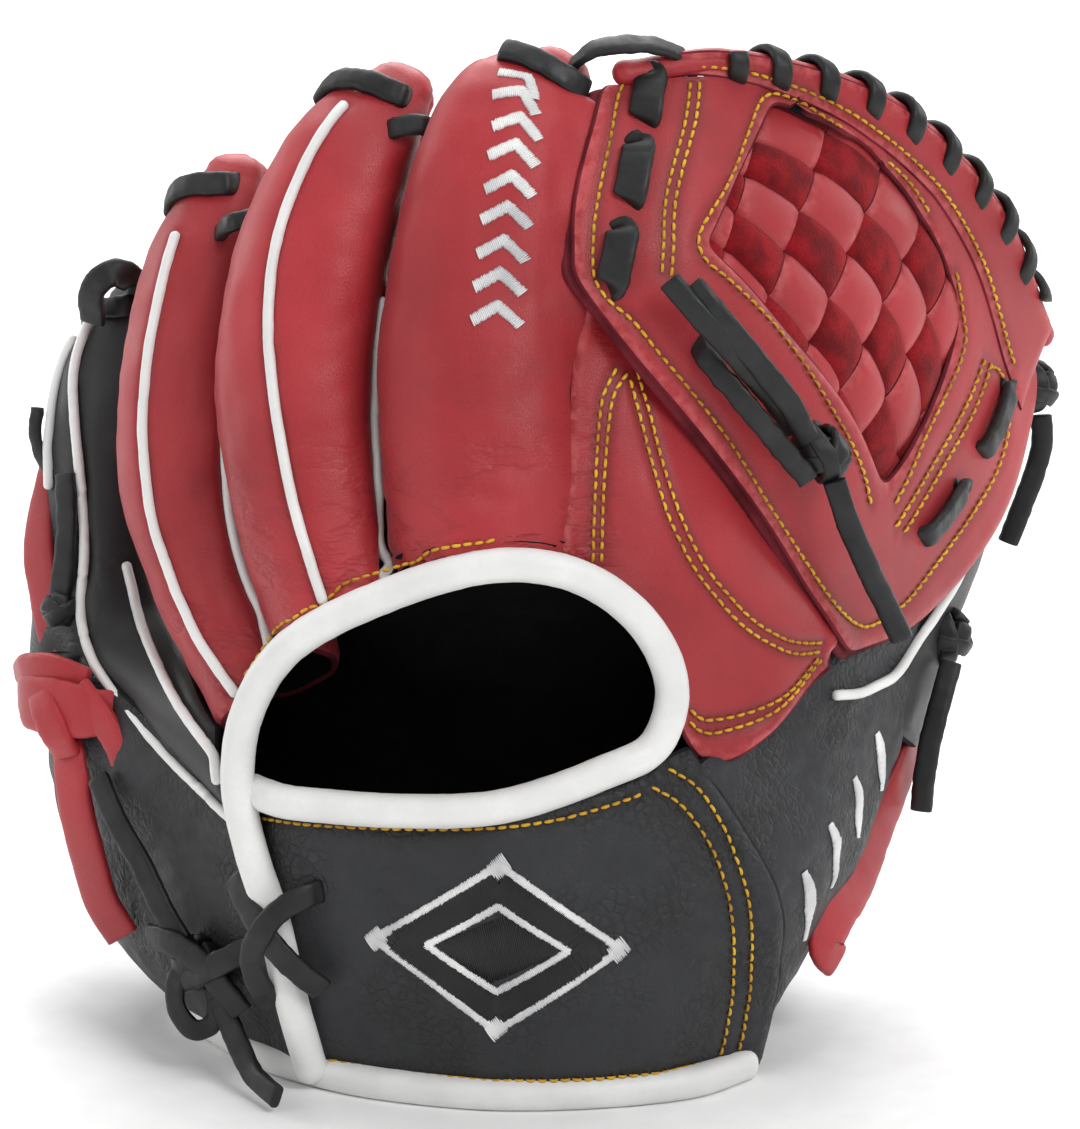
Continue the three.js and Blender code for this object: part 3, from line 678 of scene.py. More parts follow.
def laid_over(grid, tree, gap=0.35, reach=7.0):
    """The grid again, pushed out where it dips below a skin."""
    flat = grid.reshape(-1, 3)
    for _ in range(2):
        push = np.zeros_like(flat)
        for k, p in enumerate(flat):
            hit, normal, _, distance = tree.find_nearest(Vector(p))
            if hit is not None and distance < reach:
                push[k] = np.array(normal) * max(0.0, gap - (Vector(p) - hit).dot(normal))
        push = push.reshape(grid.shape)
        for _ in range(10):
            push = (push + np.roll(push, 1, 1) + np.roll(push, -1, 1)) / 3
            push[1:-1] = (push[:-2] + push[1:-1] + push[2:]) / 3
        flat = flat + push.reshape(-1, 3)
    return flat.reshape(grid.shape)


# ---------------------------------------------------------------- bars, knots and stitches
CUT = ((0.93, 0.10), (0.8, 0.16))
ROUND = ((0.92, 0.38), (0.71, 0.7), (0.38, 0.92))


def bar_mesh(line, width, thick, facing, square=3.6, sides=16, ends=CUT, wobble=0.0, seed=1):
    """Points and faces of a bar along the line, its flat side towards facing."""
    line = np.asarray(line, float)
    count = len(line)
    tangent = unit(np.gradient(line, axis=0))
    facing = np.asarray(facing, float)
    if facing.ndim == 1:
        facing = np.repeat(facing[None], count, 0)
    elif len(facing) != count:
        at = np.linspace(0, len(facing) - 1, count)
        facing = np.stack([np.interp(at, np.arange(len(facing)), facing[:, k]) for k in range(3)], 1)
    side = unit(np.cross(tangent, facing))
    face = unit(np.cross(side, tangent))
    width = np.interp(np.linspace(0, 1, count), np.linspace(0, 1, np.size(width)), np.ravel(width))
    thick = np.interp(np.linspace(0, 1, count), np.linspace(0, 1, np.size(thick)), np.ravel(thick))
    angle = 2 * math.pi * (np.arange(sides) + 0.5) / sides
    x = np.sign(np.cos(angle)) * np.abs(np.cos(angle)) ** (2 / square)
    y = np.sign(np.sin(angle)) * np.abs(np.sin(angle)) ** (2 / square)

    def ring(k, scale=1.0, forward=0.0):
        centre = line[k] + tangent[k] * forward
        return (
            centre
            + side[k] * (x * width[k] / 2 * scale)[:, None]
            + face[k] * (y * thick[k] / 2 * scale)[:, None]
        )

    rings = [ring(0, s, -f * thick[0] / 2) for s, f in reversed(ends)]
    rings += [ring(k) for k in range(count)]
    rings += [ring(count - 1, s, f * thick[-1] / 2) for s, f in ends]
    points = np.vstack(rings)
    if wobble:
        away = unit(points - np.repeat(np.array([r.mean(0) for r in rings]), sides, 0))
        points = points + away * (
            wobble * waves(points, 4.5, seed) + wobble * waves(points, 1.9, seed + 7) * 0.5
        )[:, None]
    total = len(rings)
    ids = np.arange(total * sides).reshape(total, sides)
    right = np.roll(ids, -1, 1)
    faces = np.stack([ids[:-1], right[:-1], right[1:], ids[1:]], -1).reshape(-1, 4).tolist()
    first, last = rings[0].mean(0), rings[-1].mean(0)
    points = np.vstack([points, first - tangent[0] * 0.02, last + tangent[-1] * 0.02])
    n = total * sides
    faces += [[n, right[0, k], ids[0, k]] for k in range(sides)]
    faces += [[n + 1, ids[-1, k], right[-1, k]] for k in range(sides)]
    return points, faces


def joined(parts):
    """Several closed shapes as one mesh's points and faces."""
    points, faces, start = [], [], 0
    for p, f in parts:
        if volume_of(p, f) < 0:
            f = [g[::-1] for g in f]
        points.append(p)
        faces += [[i + start for i in g] for g in f]
        start += len(p)
    return np.vstack(points), faces


def bar(name, points, width, thick, facing, look, steps=60, **options):
    """A lace or strap through the points."""
    made, faces = bar_mesh(centripetal(points, steps), width, thick, facing, **options)
    return piece(name, made, faces, [look])


def stitches(name, rows):
    """Sewn stitches along rows of (points, normals), each a short arched bead of thread."""
    random = np.random.RandomState(3)
    x = np.array([-0.5, -0.4, -0.15, 0.15, 0.4, 0.5]) * STITCH_LENGTH
    fat = np.array([0.45, 0.85, 1.0, 1.0, 0.85, 0.45]) * STITCH_RADIUS
    high = np.array([-0.5, 0.35, 1.0, 1.0, 0.35, -0.5]) * STITCH_LIFT
    sides = 6
    angle = 2 * math.pi * np.arange(sides) / sides
    base = np.concatenate(
        [
            np.stack([np.full(sides, a), f * np.cos(angle), h + f * np.sin(angle)], 1)
            for a, f, h in zip(x, fat, high)
        ]
        + [np.array([[x[0] - 0.1, 0, high[0]], [x[-1] + 0.1, 0, high[-1]]])]
    )
    ids = np.arange(len(x) * sides).reshape(len(x), sides)
    right = np.roll(ids, -1, 1)
    faces = np.stack([ids[:-1], right[:-1], right[1:], ids[1:]], -1).reshape(-1, 4)[:, ::-1].tolist()
    n = len(x) * sides
    faces += [[n, ids[0, k], right[0, k]] for k in range(sides)]
    faces += [[n + 1, right[-1, k], ids[-1, k]] for k in range(sides)]
    points, all_faces, start = [], [], 0
    for line, normals in rows:
        total = np.linalg.norm(np.diff(line, axis=0), axis=1).sum()
        count = max(2, int(total / STITCH_PITCH))
        both = even(np.hstack([line, normals * 0.001]), count + 1)
        centres = (both[1:, :3] + both[:-1, :3]) / 2
        along = unit(both[1:, :3] - both[:-1, :3])
        up = unit(both[1:, 3:] + both[:-1, 3:])
        side = unit(np.cross(up, along))
        up = np.cross(along, side)
        turn = random.uniform(-0.09, 0.09, len(centres))
        stretch = random.uniform(0.9, 1.08, len(centres))
        for c, a, s, u, w, k in zip(centres, along, side, up, turn, stretch):
            a2, s2 = a * math.cos(w) + s * math.sin(w), s * math.cos(w) - a * math.sin(w)
            points.append(c + base[:, :1] * a2 * k + base[:, 1:2] * s2 + base[:, 2:] * u)
            all_faces += [[i + start for i in f] for f in faces]
            start += len(base)
    return piece(name, np.vstack(points), all_faces, [thread])


def knot_parts(centre, radii, tilt, width=5.0, thick=2.3, seed=1):
    """A tight knot: an overhand turn of lace round a core, with two more turns over it."""
    centre, radii = np.array(centre, float), np.array(radii, float)
    c, s = math.cos(math.radians(tilt)), math.sin(math.radians(tilt))
    spin = np.array([[c, 0, s], [0, 1, 0], [-s, 0, c]])
    inner = np.maximum(radii - thick * 0.55, 1.5)
    parts = []
    for k, degrees in enumerate((0.0, 62.0, 118.0)):
        w = np.linspace(0, 2 * math.pi, 49)
        lean = math.radians(degrees + seed * 13)
        across = np.array([math.cos(lean), 0.25 * math.sin(seed + k), math.sin(lean)])
        across = across / np.linalg.norm(across)
        axis = np.array([0.25 * math.cos(k + seed), 1.0, 0.2])
        axis = unit(axis - across * (axis @ across))
        ring = np.cos(w)[:, None] * across + np.sin(w)[:, None] * axis
        swell = 1 + 0.08 * k
        wave = np.cross(across, axis) * (0.18 * np.sin(2 * w + k))[:, None]
        line = centre + ((ring + wave) * inner * swell) @ spin.T
        parts.append(
            bar_mesh(
                line[:-2], width * (1 - 0.08 * k), thick, ring @ spin.T, wobble=0.12, seed=seed + k
            )
        )
    w = np.linspace(-1, 1, 9)
    core = centre + np.outer(w, [inner[0] * 0.5, 0, 0]) @ spin.T
    parts.append(bar_mesh(core, inner[2] * 1.7, inner[1] * 1.7, [0, -1, 0], square=2, ends=ROUND))
    return parts


# ---------------------------------------------------------------- the shapes of the glove
strap_surface = Surface([
    [[-58, -35, 1], [-45, -42, 1], [-10, -53.5, 1], [22, -51, 1], [46, -34.5, 1]],
    [[-64, -32, 24], [-47, -45, 24], [-10, -56.5, 23], [25, -53, 24], [49.5, -39.5, 26]],
    [[-68, -31, 48], [-50, -48, 47], [-10, -57.5, 46], [23, -54, 47], [48, -42, 48]],
    [[-70, -30, 70], [-52, -47.5, 69], [-10, -54.5, 70], [17, -49.5, 75], [31, -41, 80]],
])
pinky_heel_surface = Surface([
    [[-80, 22, 3], [-86, 6, 2], [-72, -18, 1], [-55, -39, 1]],
    [[-98, 42, 20], [-108, 22, 21], [-88, -12, 22], [-59, -42, 22]],
    [[-110, 54, 38], [-117, 34, 41], [-98, -4, 43], [-63, -42, 42]],
    [[-116, 60, 58], [-121, 42, 61], [-106, 4, 64], [-70, -36, 62]],
    [[-118, 62, 78], [-121, 44, 81], [-109, 15, 86], [-81, -20, 83]],
])
thumb_heel_surface = Surface([
    [[49.5, -32, 1], [51, -16, 1], [51, 4, 1], [46, 22, 1]],
    [[53, -38, 28], [66, -11, 28], [72, 16, 28], [65, 43, 27]],
    [[52, -40, 49], [74.5, -4, 50], [83.5, 28, 50], [79, 59, 50]],
    [[45, -40, 67], [77, 2, 68], [91, 38, 68], [86.5, 70, 70]],
    [[39, -33, 82], [76, 4, 86], [97, 46, 86], [92, 76, 84]],
])
crotch_surface = Surface([
    [[10, -39, 130], [26, -40, 113], [38, -35, 88], [53, -29, 88], [66, -14, 95]],
    [[11, -30, 152], [26, -32, 140], [41, -31, 120], [56, -21, 109], [69, -8, 100]],
    [[12, -19, 176], [24, -18, 166], [38, -16, 150], [54, -9, 126], [70, 2, 105]],
])
palm_surface = Surface([
    [[46, 23, 1], [36, 45, 1], [5, 58, 1], [-40, 58, 1], [-70, 42, 1], [-80, 24, 3]],
    [[65, 44, 27], [46, 50, 26], [8, 44, 26], [-40, 54, 26], [-82, 60, 24], [-98, 44, 20]],
    [[79, 60, 50], [54, 46, 50], [10, 28, 50], [-38, 42, 50], [-92, 68, 44], [-110, 56, 38]],
    [[87, 71, 70], [58, 42, 74], [12, 18, 75], [-38, 28, 75], [-94, 70, 70], [-117, 64, 64]],
    [[92, 70, 96], [68, 36, 99], [16, 10, 104], [-36, 18, 98], [-80, 52, 80], [-112, 66, 78]],
    [[93, 71, 112], [66, 27, 118], [22, -5, 136], [-32, 4, 122], [-78, 47, 98], [-112, 66, 83]],
])
web_surface = Surface([
    [[10.5, -25, 185], [22, -28, 166], [36, -26, 147], [54, -19, 122], [70, -8, 97]],
    [[12.5, -17, 201], [33, -21, 187], [53, -16, 164], [74, -2, 139], [91, 20, 100]],
    [[17, -5, 217], [40, -6, 209], [67, 6, 191], [92, 27, 163], [112, 50, 119]],
    [[21, 6, 229], [45, 14, 230], [80, 32, 217], [108, 56, 188], [124, 76, 152]],
])
stalls = {
    "index": Stall([
        [-12, -26, 122, 21.5, 24, 2], [-13, -21, 139, 22.5, 23.5, 2], [-14, -12, 168, 23, 21.5, 2],
        [-11, -4, 194, 21.5, 19, 2], [-7, 3, 213, 19.3, 16.5, 2], [-1, 8, 221.5, 15.5, 13, 2],
        [4.5, 12, 227, 8, 6.5, 2],
    ]),
    "middle": Stall([
        [-45, -17, 106, 16, 24, -10], [-51, -10, 128, 18, 21, -12], [-55, -2, 154, 19, 20, -13],
        [-53, 5, 179, 18.5, 18.5, -13], [-46, 12, 201, 16.5, 16, -12], [-38.5, 18, 214, 13, 12, -10],
        [-32, 22, 222, 8, 7, -10],
    ]),
    "ring": Stall([
        [-59, -12, 80, 12.5, 22.5, -29], [-65, -2, 94, 14, 21.5, -32], [-73, 8, 110, 15.5, 20, -34],
        [-80, 16, 132, 17.5, 18.5, -36], [-80, 21, 154, 17.5, 18, -36], [-77, 27, 174, 16.5, 16.5, -36],
        [-73.5, 32, 190, 12.5, 12, -35], [-71, 35, 199, 8, 7, -34],
    ]),
    "pinky": Stall([
        [-100, 38, 81, 21, 23.5, -42], [-102, 43, 101, 18.5, 20, -42], [-103, 47, 124, 16.5, 16.5, -43],
        [-100, 49, 144, 15, 15, -44], [-98, 52, 158, 10.5, 10.5, -45], [-97, 54, 165, 7, 6.5, -45],
    ]),
    "thumb": Stall([
        [58, 24, 34, 22, 19, 62], [72, 34, 60, 21, 18, 62], [82, 46, 86, 19, 17, 62],
        [94, 60, 110, 17, 16, 62], [103, 71, 130, 13.5, 13, 62], [109, 79, 143, 8.5, 8.5, 62],
        [111, 83, 149, 3.5, 3.5, 62],
    ]),
}
opening_edge = [
    [-53, -42, 5], [-57, -44.5, 22], [-61, -45, 42], [-66, -43, 58], [-69, -39, 73], [-67, -37, 88],
    [-58, -39, 104], [-35, -46, 119], [-9, -49, 127], [9, -48, 124], [24, -43, 111], [30, -40, 95],
    [26, -43, 83], [14, -48, 78], [-9, -54, 72], [-32, -54, 71], [-50, -50, 71], [-59, -46, 70.5],
]
heel_edge = [
    [47, -35, 3], [35, -46, 2.9], [14, -52.5, 2.9], [-10, -54, 2.9], [-30, -49.5, 2.9],
    [-45, -43, 2.9], [-62, -30, 2.9], [-75, -12, 2.9], [-84, 4, 2.9], [-79, 24, 2.9],
    [-68, 43, 2.9], [-40, 56, 2.9], [-10, 58.5, 2.9], [12, 57, 2.9],
]

# ---------------------------------------------------------------- free lace tails
tails = {
    "web_tail_long": (
        "thumb_side", [[58, -23, 152], [52, -27, 161], [44, -31, 171], [36, -32, 180], [29, -31, 188]]
    ),
    "web_tail_short": (
        "thumb_side", [[67, -24, 140], [70, -23, 131], [75, -19, 119], [80, -14, 108], [84, -10, 99]]
    ),
    "heel_tail_up": (
        "hand", [[-83.5, -28, 31], [-88, -25, 38], [-93, -20, 47], [-99, -13, 55], [-104, -4, 63]]
    ),
    "heel_tail_down": (
        "hand", [[-75, -33, 19], [-72, -37, 14], [-69, -42, 9], [-66, -48, 5.5], [-60, -58, 3.8]]
    ),
    "thumb_tip_tail": (
        "thumb_side",
        [[124, 77, 131.5], [124.5, 77, 125], [123, 78, 117], [120.5, 79, 109], [117, 80, 98.5]]
    ),
    "thumb_low_tail": (
        "thumb_side", [[99.5, 35, 80], [97, 31, 72], [94.5, 28, 63], [93, 27, 54], [92.5, 28, 45]]
    ),
}
for number, (name, (body, points)) in enumerate(tails.items()):
    line = centripetal(points, 40)
    mesh_points, mesh_faces = bar_mesh(
        line, LACE_WIDTH, LACE_THICK, [-0.2, -1, 0.1], wobble=0.07, seed=number
    )
    made = piece(name + "_lace", mesh_points, mesh_faces, [rawhide])
    settle(made, body, [name])

# ---------------------------------------------------------------- seam lines of the backs
seam_lines = {
    "middle_crest": [
        [-44.8, 9.3, 219.3], [-50.9, 3, 209.2], [-55.8, -2.3, 200.9], [-59.1, -6.4, 192.5],
        [-60.9, -10.3, 183.2], [-61.3, -14.8, 172.3], [-59.4, -21.2, 155.8], [-56.6, -26.3, 140.2],
        [-53.1, -30.4, 128], [-48.9, -38, 115.9],
    ],
    "ring_crest": [
        [-84.1, 20.1, 187.2], [-88.5, 11.4, 168.5], [-91.1, 7.3, 155.8], [-91.5, 5, 146.1],
        [-90.6, 1, 133.4], [-87.1, -2.5, 120.6], [-81, -9.9, 106.7], [-73.8, -20.9, 96.1],
        [-69.3, -28.4, 90.9],
    ],
    "index_middle": [
        [-37.5, -5, 178], [-38.2, -9, 166], [-38.7, -11.9, 157], [-37.9, -20.3, 138.8],
        [-36.3, -25.6, 126.7], [-34.9, -30, 119.3],
    ],
    "ring_middle": [
        [-74, 3, 152], [-73.4, 0.5, 141.2], [-72.4, -4.4, 128.1], [-69.3, -9.9, 115.6],
        [-64.6, -16.8, 105.3], [-61, -27, 99],
    ],
    "pinky_crest": [
        [-108, 46, 161], [-110, 42, 151.3], [-109.9, 36.7, 142.2], [-109, 32.5, 129],
        [-108, 28.3, 117.5], [-107.8, 24.9, 107.7], [-109.1, 21.7, 96.7], [-105.5, 13, 87],
        [-97.3, 1.7, 80.3], [-89, -10.6, 74.2], [
            -82.4, -19.1, 70.2
        ], [-74.3, -30.7, 66.1], [-69.5, -37, 63.2],
    ],
    "ring_pinky": [
        [-99, 24, 107], [-96.8, 20.4, 97.1], [-91, 4, 90], [-83.6, -15.2, 83.4], [-75.5, -30, 77.5],
        [-70.5, -36.5, 74.5],
    ],
    "pinky_outer": [
        [-112, 48, 157], [-116, 46, 148], [-118.5, 43, 140], [-119.5, 40, 131], [-119.5, 37, 124],
    ],
    "thumb_back": [
        [119, 70, 146], [116.5, 62, 133], [111, 50, 115], [104, 38, 100], [97, 26, 89],
        [90, 14, 84], [80, 2, 82.5], [70, -6, 84],
    ],
}
dense_seams = {name: centripetal(points, 90) for name, points in seam_lines.items()}

# ---------------------------------------------------------------- finger stalls
RED_SET = [red, raw_edge, lining_look]
BLACK_SET = [black, black_edge, lining_look]
SMOOTH_BLACK_SET = [black_smooth, black_edge, lining_look]
BACK_ROWS, BACK_COLUMNS = 84, 60
BACK_LEFT, BACK_RIGHT = 178.5, 1.5  # degrees round the finger
back_start = {"index": -0.1, "middle": -0.1, "ring": -0.1, "pinky": -0.12, "thumb": 0.2}
front_start = {"index": 0.02, "middle": 0.02, "ring": 0.1, "pinky": 0.02, "thumb": 0.3}
crest_of = {
    "index": ["index_middle"], "middle": ["middle_crest", "index_middle", "ring_middle"],
    "ring": ["ring_crest", "ring_middle"], "pinky": ["pinky_crest"], "thumb": [],
}


def creased(grid, wrap=False, amount=1.0, seed=1):
    """Soft unevenness of worked leather."""
    normal = normals_of(grid, wrap)
    soft = 0.28 * waves(grid, 26, seed) + 0.12 * waves(grid, 9, seed + 3)
    return grid + normal * (amount * soft)[..., None]


def base_creases(grid, low, high, amount, seed):
    """Slanting folds pressed into a finger's back, deepest at low and gone at high."""
    normal = normals_of(grid)
    z = grid[..., 2]
    mask = np.clip((high - z) / (high - low), 0, 1) ** 1.5
    slant = grid @ np.array([0.35, 0.2, 1.0])
    bend = 3.2 * waves(grid, 22, seed)
    fold = 1 - np.abs(np.sin((slant + bend) / 3.4)) ** 0.6
    patch = np.clip(0.5 + waves(grid, 14, seed + 5), 0, 1)
    return grid - normal * (amount * mask * patch * fold)[..., None]


def from_the_front(points):
    """Where points fall on a picture plane in front of the glove, fifteen degrees above it."""
    away = points - np.array([0.0, -1129.1, 416.6])
    tilt = math.radians(15)
    depth = away @ np.array([0, math.cos(tilt), -math.sin(tilt)])
    return away[..., 0] / depth, away @ np.array([0, math.sin(tilt), math.cos(tilt)]) / depth


def inside_opening(points):
    """Whether points lie inside the wrist opening as seen from the front."""
    loop = np.column_stack(from_the_front(centripetal(opening_edge, 120)[26:114]))
    x, z = from_the_front(points)
    made = np.zeros(x.shape, bool)
    for (x0, z0), (x1, z1) in zip(loop, np.roll(loop, -1, 0)):
        crosses = (z0 > z) != (z1 > z)
        made ^= crosses & (x < x0 + (z - z0) * (x1 - x0) / (z1 - z0 + 1e-9))
    return made


def clear_starts(stall, degrees, lowest):
    """For each column of a back, where it comes out from under the opening's binding."""
    t = np.linspace(lowest, 0.6, 220)
    hidden = inside_opening(stall.at(t[:, None], degrees[None, :]))
    last = np.array([t[np.nonzero(column)[0][-1]] if column.any() else lowest for column in hidden.T])
    for _ in range(3):
        last[1:-1] = (last[:-2] + 2 * last[1:-1] + last[2:]) / 4
    return last


def web_joined(grid, stall, t, degrees):
    """The index finger's back, its web side drawn across to the web instead of round the finger."""
    turn_in = 66.0
    share = np.clip((turn_in - degrees) / turn_in, 0, 1)
    held = np.clip(t, 0.12, 0.86)
    v = -0.15 + (held - 0.12) / 0.74 * 1.05
    web_side = web_surface.at(v, 0.13 + 0 * v, -4.4) + stall.at(t, 40.0) - stall.at(held, 40.0)
    drawn = stall.at(t, turn_in) * (1 - share[..., None]) + web_side * share[..., None]
    drawn = drawn + unit(stall.at(t, 66.0, -1.0) - stall.at(t, 66.0)) * (
        -1.6 * np.sin(math.pi * share)[..., None]
    )
    keep = np.clip((0.95 - t) / 0.14, 0, 1) * np.clip((t - 0.28) / 0.12, 0, 1) * (degrees < turn_in)
    return grid + (drawn - grid) * keep[..., None]


for number, (name, stall) in enumerate(stalls.items()):
    dark = name in ("pinky", "thumb")
    body = "thumb_side" if name == "thumb" else "hand"
    looks = SMOOTH_BLACK_SET if dark else RED_SET
    degrees = np.linspace(BACK_LEFT, BACK_RIGHT, BACK_COLUMNS)
    starts = clear_starts(stall, degrees, back_start[name])
    if name in ("ring", "middle"):
        starts = np.maximum(starts, 0.24 * np.clip((45 - degrees) / 30, 0, 1))
    grid = stall.wall(BACK_LEFT, BACK_RIGHT, starts, BACK_ROWS, BACK_COLUMNS)
    if name == "index":
        t = starts + (1 - starts) * np.linspace(0, 1, BACK_ROWS)[:, None]
        grid[:BACK_ROWS] = web_joined(grid[:BACK_ROWS], stall, t, degrees + 0 * t)
    grid = creased(grid, seed=number)
    lines = [dense_seams[k] for k in crest_of[name]]
    if lines:
        gap = distance_to(grid, lines)
        ridge = 1.1 * np.exp(-((gap / 6.0) ** 2)) - 1.0 * np.exp(-((gap / 1.7) ** 2))
        grid = grid + normals_of(grid) * ridge[..., None]
    if name == "index":
        grid = base_creases(grid, 122, 174, 1.15, 4)
    if name == "middle":
        grid = base_creases(grid, 104, 145, 0.8, 9)
    # painted shade: each finger back darkens towards its sides, where it turns away from the front
    turned = np.clip((np.abs(degrees - 92) - 48) / 40, 0, 1) ** 1.6
    shade = np.broadcast_to(0.85 * turned, grid.shape[:2]).copy()
    low = {"index": 172, "middle": 156, "ring": 138, "pinky": 120, "thumb": 70}[name]
    fold = np.clip((low - grid[..., 2]) / 34, 0, 1) * np.clip(
        0.75 + 0.5 * waves(grid, 30, 70 + number), 0, 1
    )
    made = sheet(name + "_back_leather", grid, SHELL, looks, seams=lines, shade=shade, fold=fold)
    settle(made, "across" if name == "index" else body, [name + "_back"])
    grid = creased(stall.wall(358.5, 181.5, front_start[name], 70, 44), seed=number + 20)
    made = sheet(name + "_front_leather", grid, SHELL, RED_SET)
    settle(made, body, [name + "_front"])
    start = max(back_start[name], 0.0) + 0.16
    grid = stall.wall(350, 0, start, 40, 36, SHELL + LAYER_GAP * 0.6, 0.93, dome=False)
    made = sheet(name + "_lining_cup", grid, LINING, [lining_look] * 3, wrap=True, cap=True)
    settle(made, body, [name + "_lining"])

# ---------------------------------------------------------------- palm, heels and strap
grid = creased(palm_surface.patch((0, 1), (-0.01, 1.01), 72, 110), seed=41)
made = sheet("palm_and_pocket", grid, SHELL, BLACK_SET)
settle(made, "across", ["palm_leather", "thumb_palm_leather"])
grid = palm_surface.patch((0.04, 0.97), (0.03, 0.97), 40, 70, -SHELL - LAYER_GAP)
made = sheet("palm_lining", grid, LINING, [lining_look] * 3)
settle(made, "across", ["hand_lining"])


def rows_on(surface, row_list, height=0.25, steps=80):
    """Rows of (v, u) places on a surface as lines in space with their normals."""
    made = []
    for row in row_list:
        share = centripetal(np.column_stack([np.array(row, float), np.zeros(len(row))]), steps)
        v, u = share[:, 0], share[:, 1]
        made.append((surface.at(v, u, height), surface.normal(v, u)))
    return made


strap_rows = [
    [
        (0.967, 0.861), (0.902, 0.93), (0.812, 0.953), (0.711, 0.947), (0.551, 0.938), (0.315, 0.939),
        (0.137, 0.94), (0.05, 0.938)
    ],
    [
        (0.985, 0.95), (0.925, 1.005), (0.842, 1.012), (0.725, 0.995), (0.534, 0.982), (0.295, 0.984),
        (0.117, 0.987), (0.05, 0.985)
    ],
    [
        (0.902, 0.043), (0.943, 0.199), (0.955, 0.311), (0.96, 0.399), (0.962, 0.507), (0.96, 0.637),
        (0.962, 0.824)
    ],
    [
        (0.085, 0.211), (0.08, 0.32), (0.085, 0.428), (0.09, 0.54), (0.09, 0.676), (0.08, 0.846),
        (0.07, 0.93)
    ],
]
strap_lines = rows_on(strap_surface, strap_rows)
grid = strap_surface.patch((0.0, 1.0), (0.0, 1.055), 70, 116)
grid = grid + normals_of(grid) * (
    1.2 * np.sin(np.linspace(0, math.pi, 70))[:, None] ** 0.5 + 0.15 * waves(grid, 18, 5)
)[..., None]
made = sheet(
    "wrist_strap_leather", grid, LEATHER + 1, BLACK_SET, lines=[r[0] for r in strap_lines], groove=0.5
)
settle(made, "across", ["wrist_strap"])
strap_tree = skin_tree("wrist_strap_leather")
rows = [snapped(points, strap_tree, 0.12) for points, _ in strap_lines]
settle(stitches("strap_stitching", rows), "across")

share = np.linspace(0, 1.03, 70)[None, :]
top = np.interp(share, [0, 0.45, 0.62, 0.8, 1.0], [1.12, 1.12, 1.05, 0.95, 0.84])
grid = pinky_heel_surface.at(np.linspace(0, 1, 70)[:, None] * top, share)
grid = creased(grid, amount=1.4, seed=51)
gap = distance_to(grid, [dense_seams["pinky_crest"]])
grid = grid - normals_of(grid) * (0.9 * np.exp(-((gap / 1.8) ** 2)))[..., None]
made = sheet("pinky_heel_leather", grid, SHELL, BLACK_SET, seams=[dense_seams["pinky_crest"]])
settle(made, "hand", ["pinky_heel_panel"])
crest = centripetal(seam_lines["pinky_crest"][3:], 60)
valley = centripetal(
    [
        [-100, 29, 122], [-98.8, 23.8, 106.1], [-96.8, 19, 97.1], [-91, 4, 90], [-83.6, -15.2, 83.4],
        [-75.5, -31, 77]
    ], 60
)
share = np.linspace(-0.06, 1.42, 30)[None, :, None]
grid = crest[:, None] * (1 - share) + valley[:, None] * share
belly = np.sin(math.pi * np.clip(share, 0, 1))
grid = grid + np.array([-0.55, -0.8, 0.15]) * (2.2 * belly - 9.0 * np.clip(share - 0.95, 0, 1))
made = sheet("pinky_base_leather", grid[:, ::-1], SHELL, SMOOTH_BLACK_SET)
settle(made, "hand")
share = np.linspace(0, 1, 80)[None, :]
top = np.interp(share, [0, 0.08, 0.2, 0.7, 0.86, 1.0], [0.9, 0.97, 1.12, 1.12, 1.06, 0.97])
grid = creased(thumb_heel_surface.at(np.linspace(0, 1, 70)[:, None] * top, share), amount=1.6, seed=52)
tuck = np.clip((0.16 - share) / 0.16, 0, 1)[..., None] ** 2
under_strap = strap_surface.at(
    np.interp(grid[..., 2], [1, 26, 48, 80], [0, 0.333, 0.667, 1]), 0.95, -3.2
)
under_strap[..., 2] = grid[..., 2]
under_strap[..., 0] = np.maximum(under_strap[..., 0], 36)
grid = grid * (1 - tuck) + under_strap * tuck
made = sheet("thumb_heel_leather", grid, SHELL, BLACK_SET)
settle(made, "thumb_side", ["thumb_heel_panel"])

# ---------------------------------------------------------------- the thumb's crotch panel
crotch_rows = [
    [(0.887, 0.114), (0.737, 0.055), (0.546, 0.035), (0.245, 0.03), (-0.063, 0.03)],
    [(0.9, 0.165), (0.768, 0.1), (0.56, 0.07), (0.283, 0.06), (-0.025, 0.06)],
    [
        (0.942, 0.207), (0.808, 0.252), (0.652, 0.29), (0.536, 0.346), (0.477, 0.421), (0.455, 0.526),
        (0.403, 0.63), (0.343, 0.775), (0.315, 0.952)
    ],
    [
        (0.882, 0.172), (0.75, 0.21), (0.589, 0.25), (0.458, 0.306), (0.414, 0.387), (0.408, 0.498),
        (0.361, 0.61), (0.288, 0.763), (0.21, 0.955)
    ],
    [(-0.06, 0.429), (0.012, 0.58), (0.013, 0.744), (0.02, 0.882), (0.12, 0.96)],
    [(-0.1, 0.43), (-0.035, 0.59), (-0.04, 0.75), (-0.04, 0.88), (0.05, 0.985)],
]
crotch_lines = rows_on(crotch_surface, crotch_rows)
back_tree = skin_tree("index_back_leather")
grid = laid_over(crotch_surface.patch((-0.15, 1.09), (-0.07, 1.02), 86, 100), back_tree, 0.8)
fold = np.clip((20 - grid[..., 0]) / 12, 0, 1) * 0.8
made = sheet(
    "thumb_crotch_leather", grid, LEATHER, RED_SET, lines=[
        r[0] for r in crotch_lines
    ], groove=0.45, fold=fold
)
settle(made, "across", ["thumb_crotch_panel"])
crotch_tree = skin_tree("thumb_crotch_leather")
rows = [snapped(points, crotch_tree, 0.12) for points, _ in crotch_lines]
settle(stitches("crotch_stitching", rows), "across")

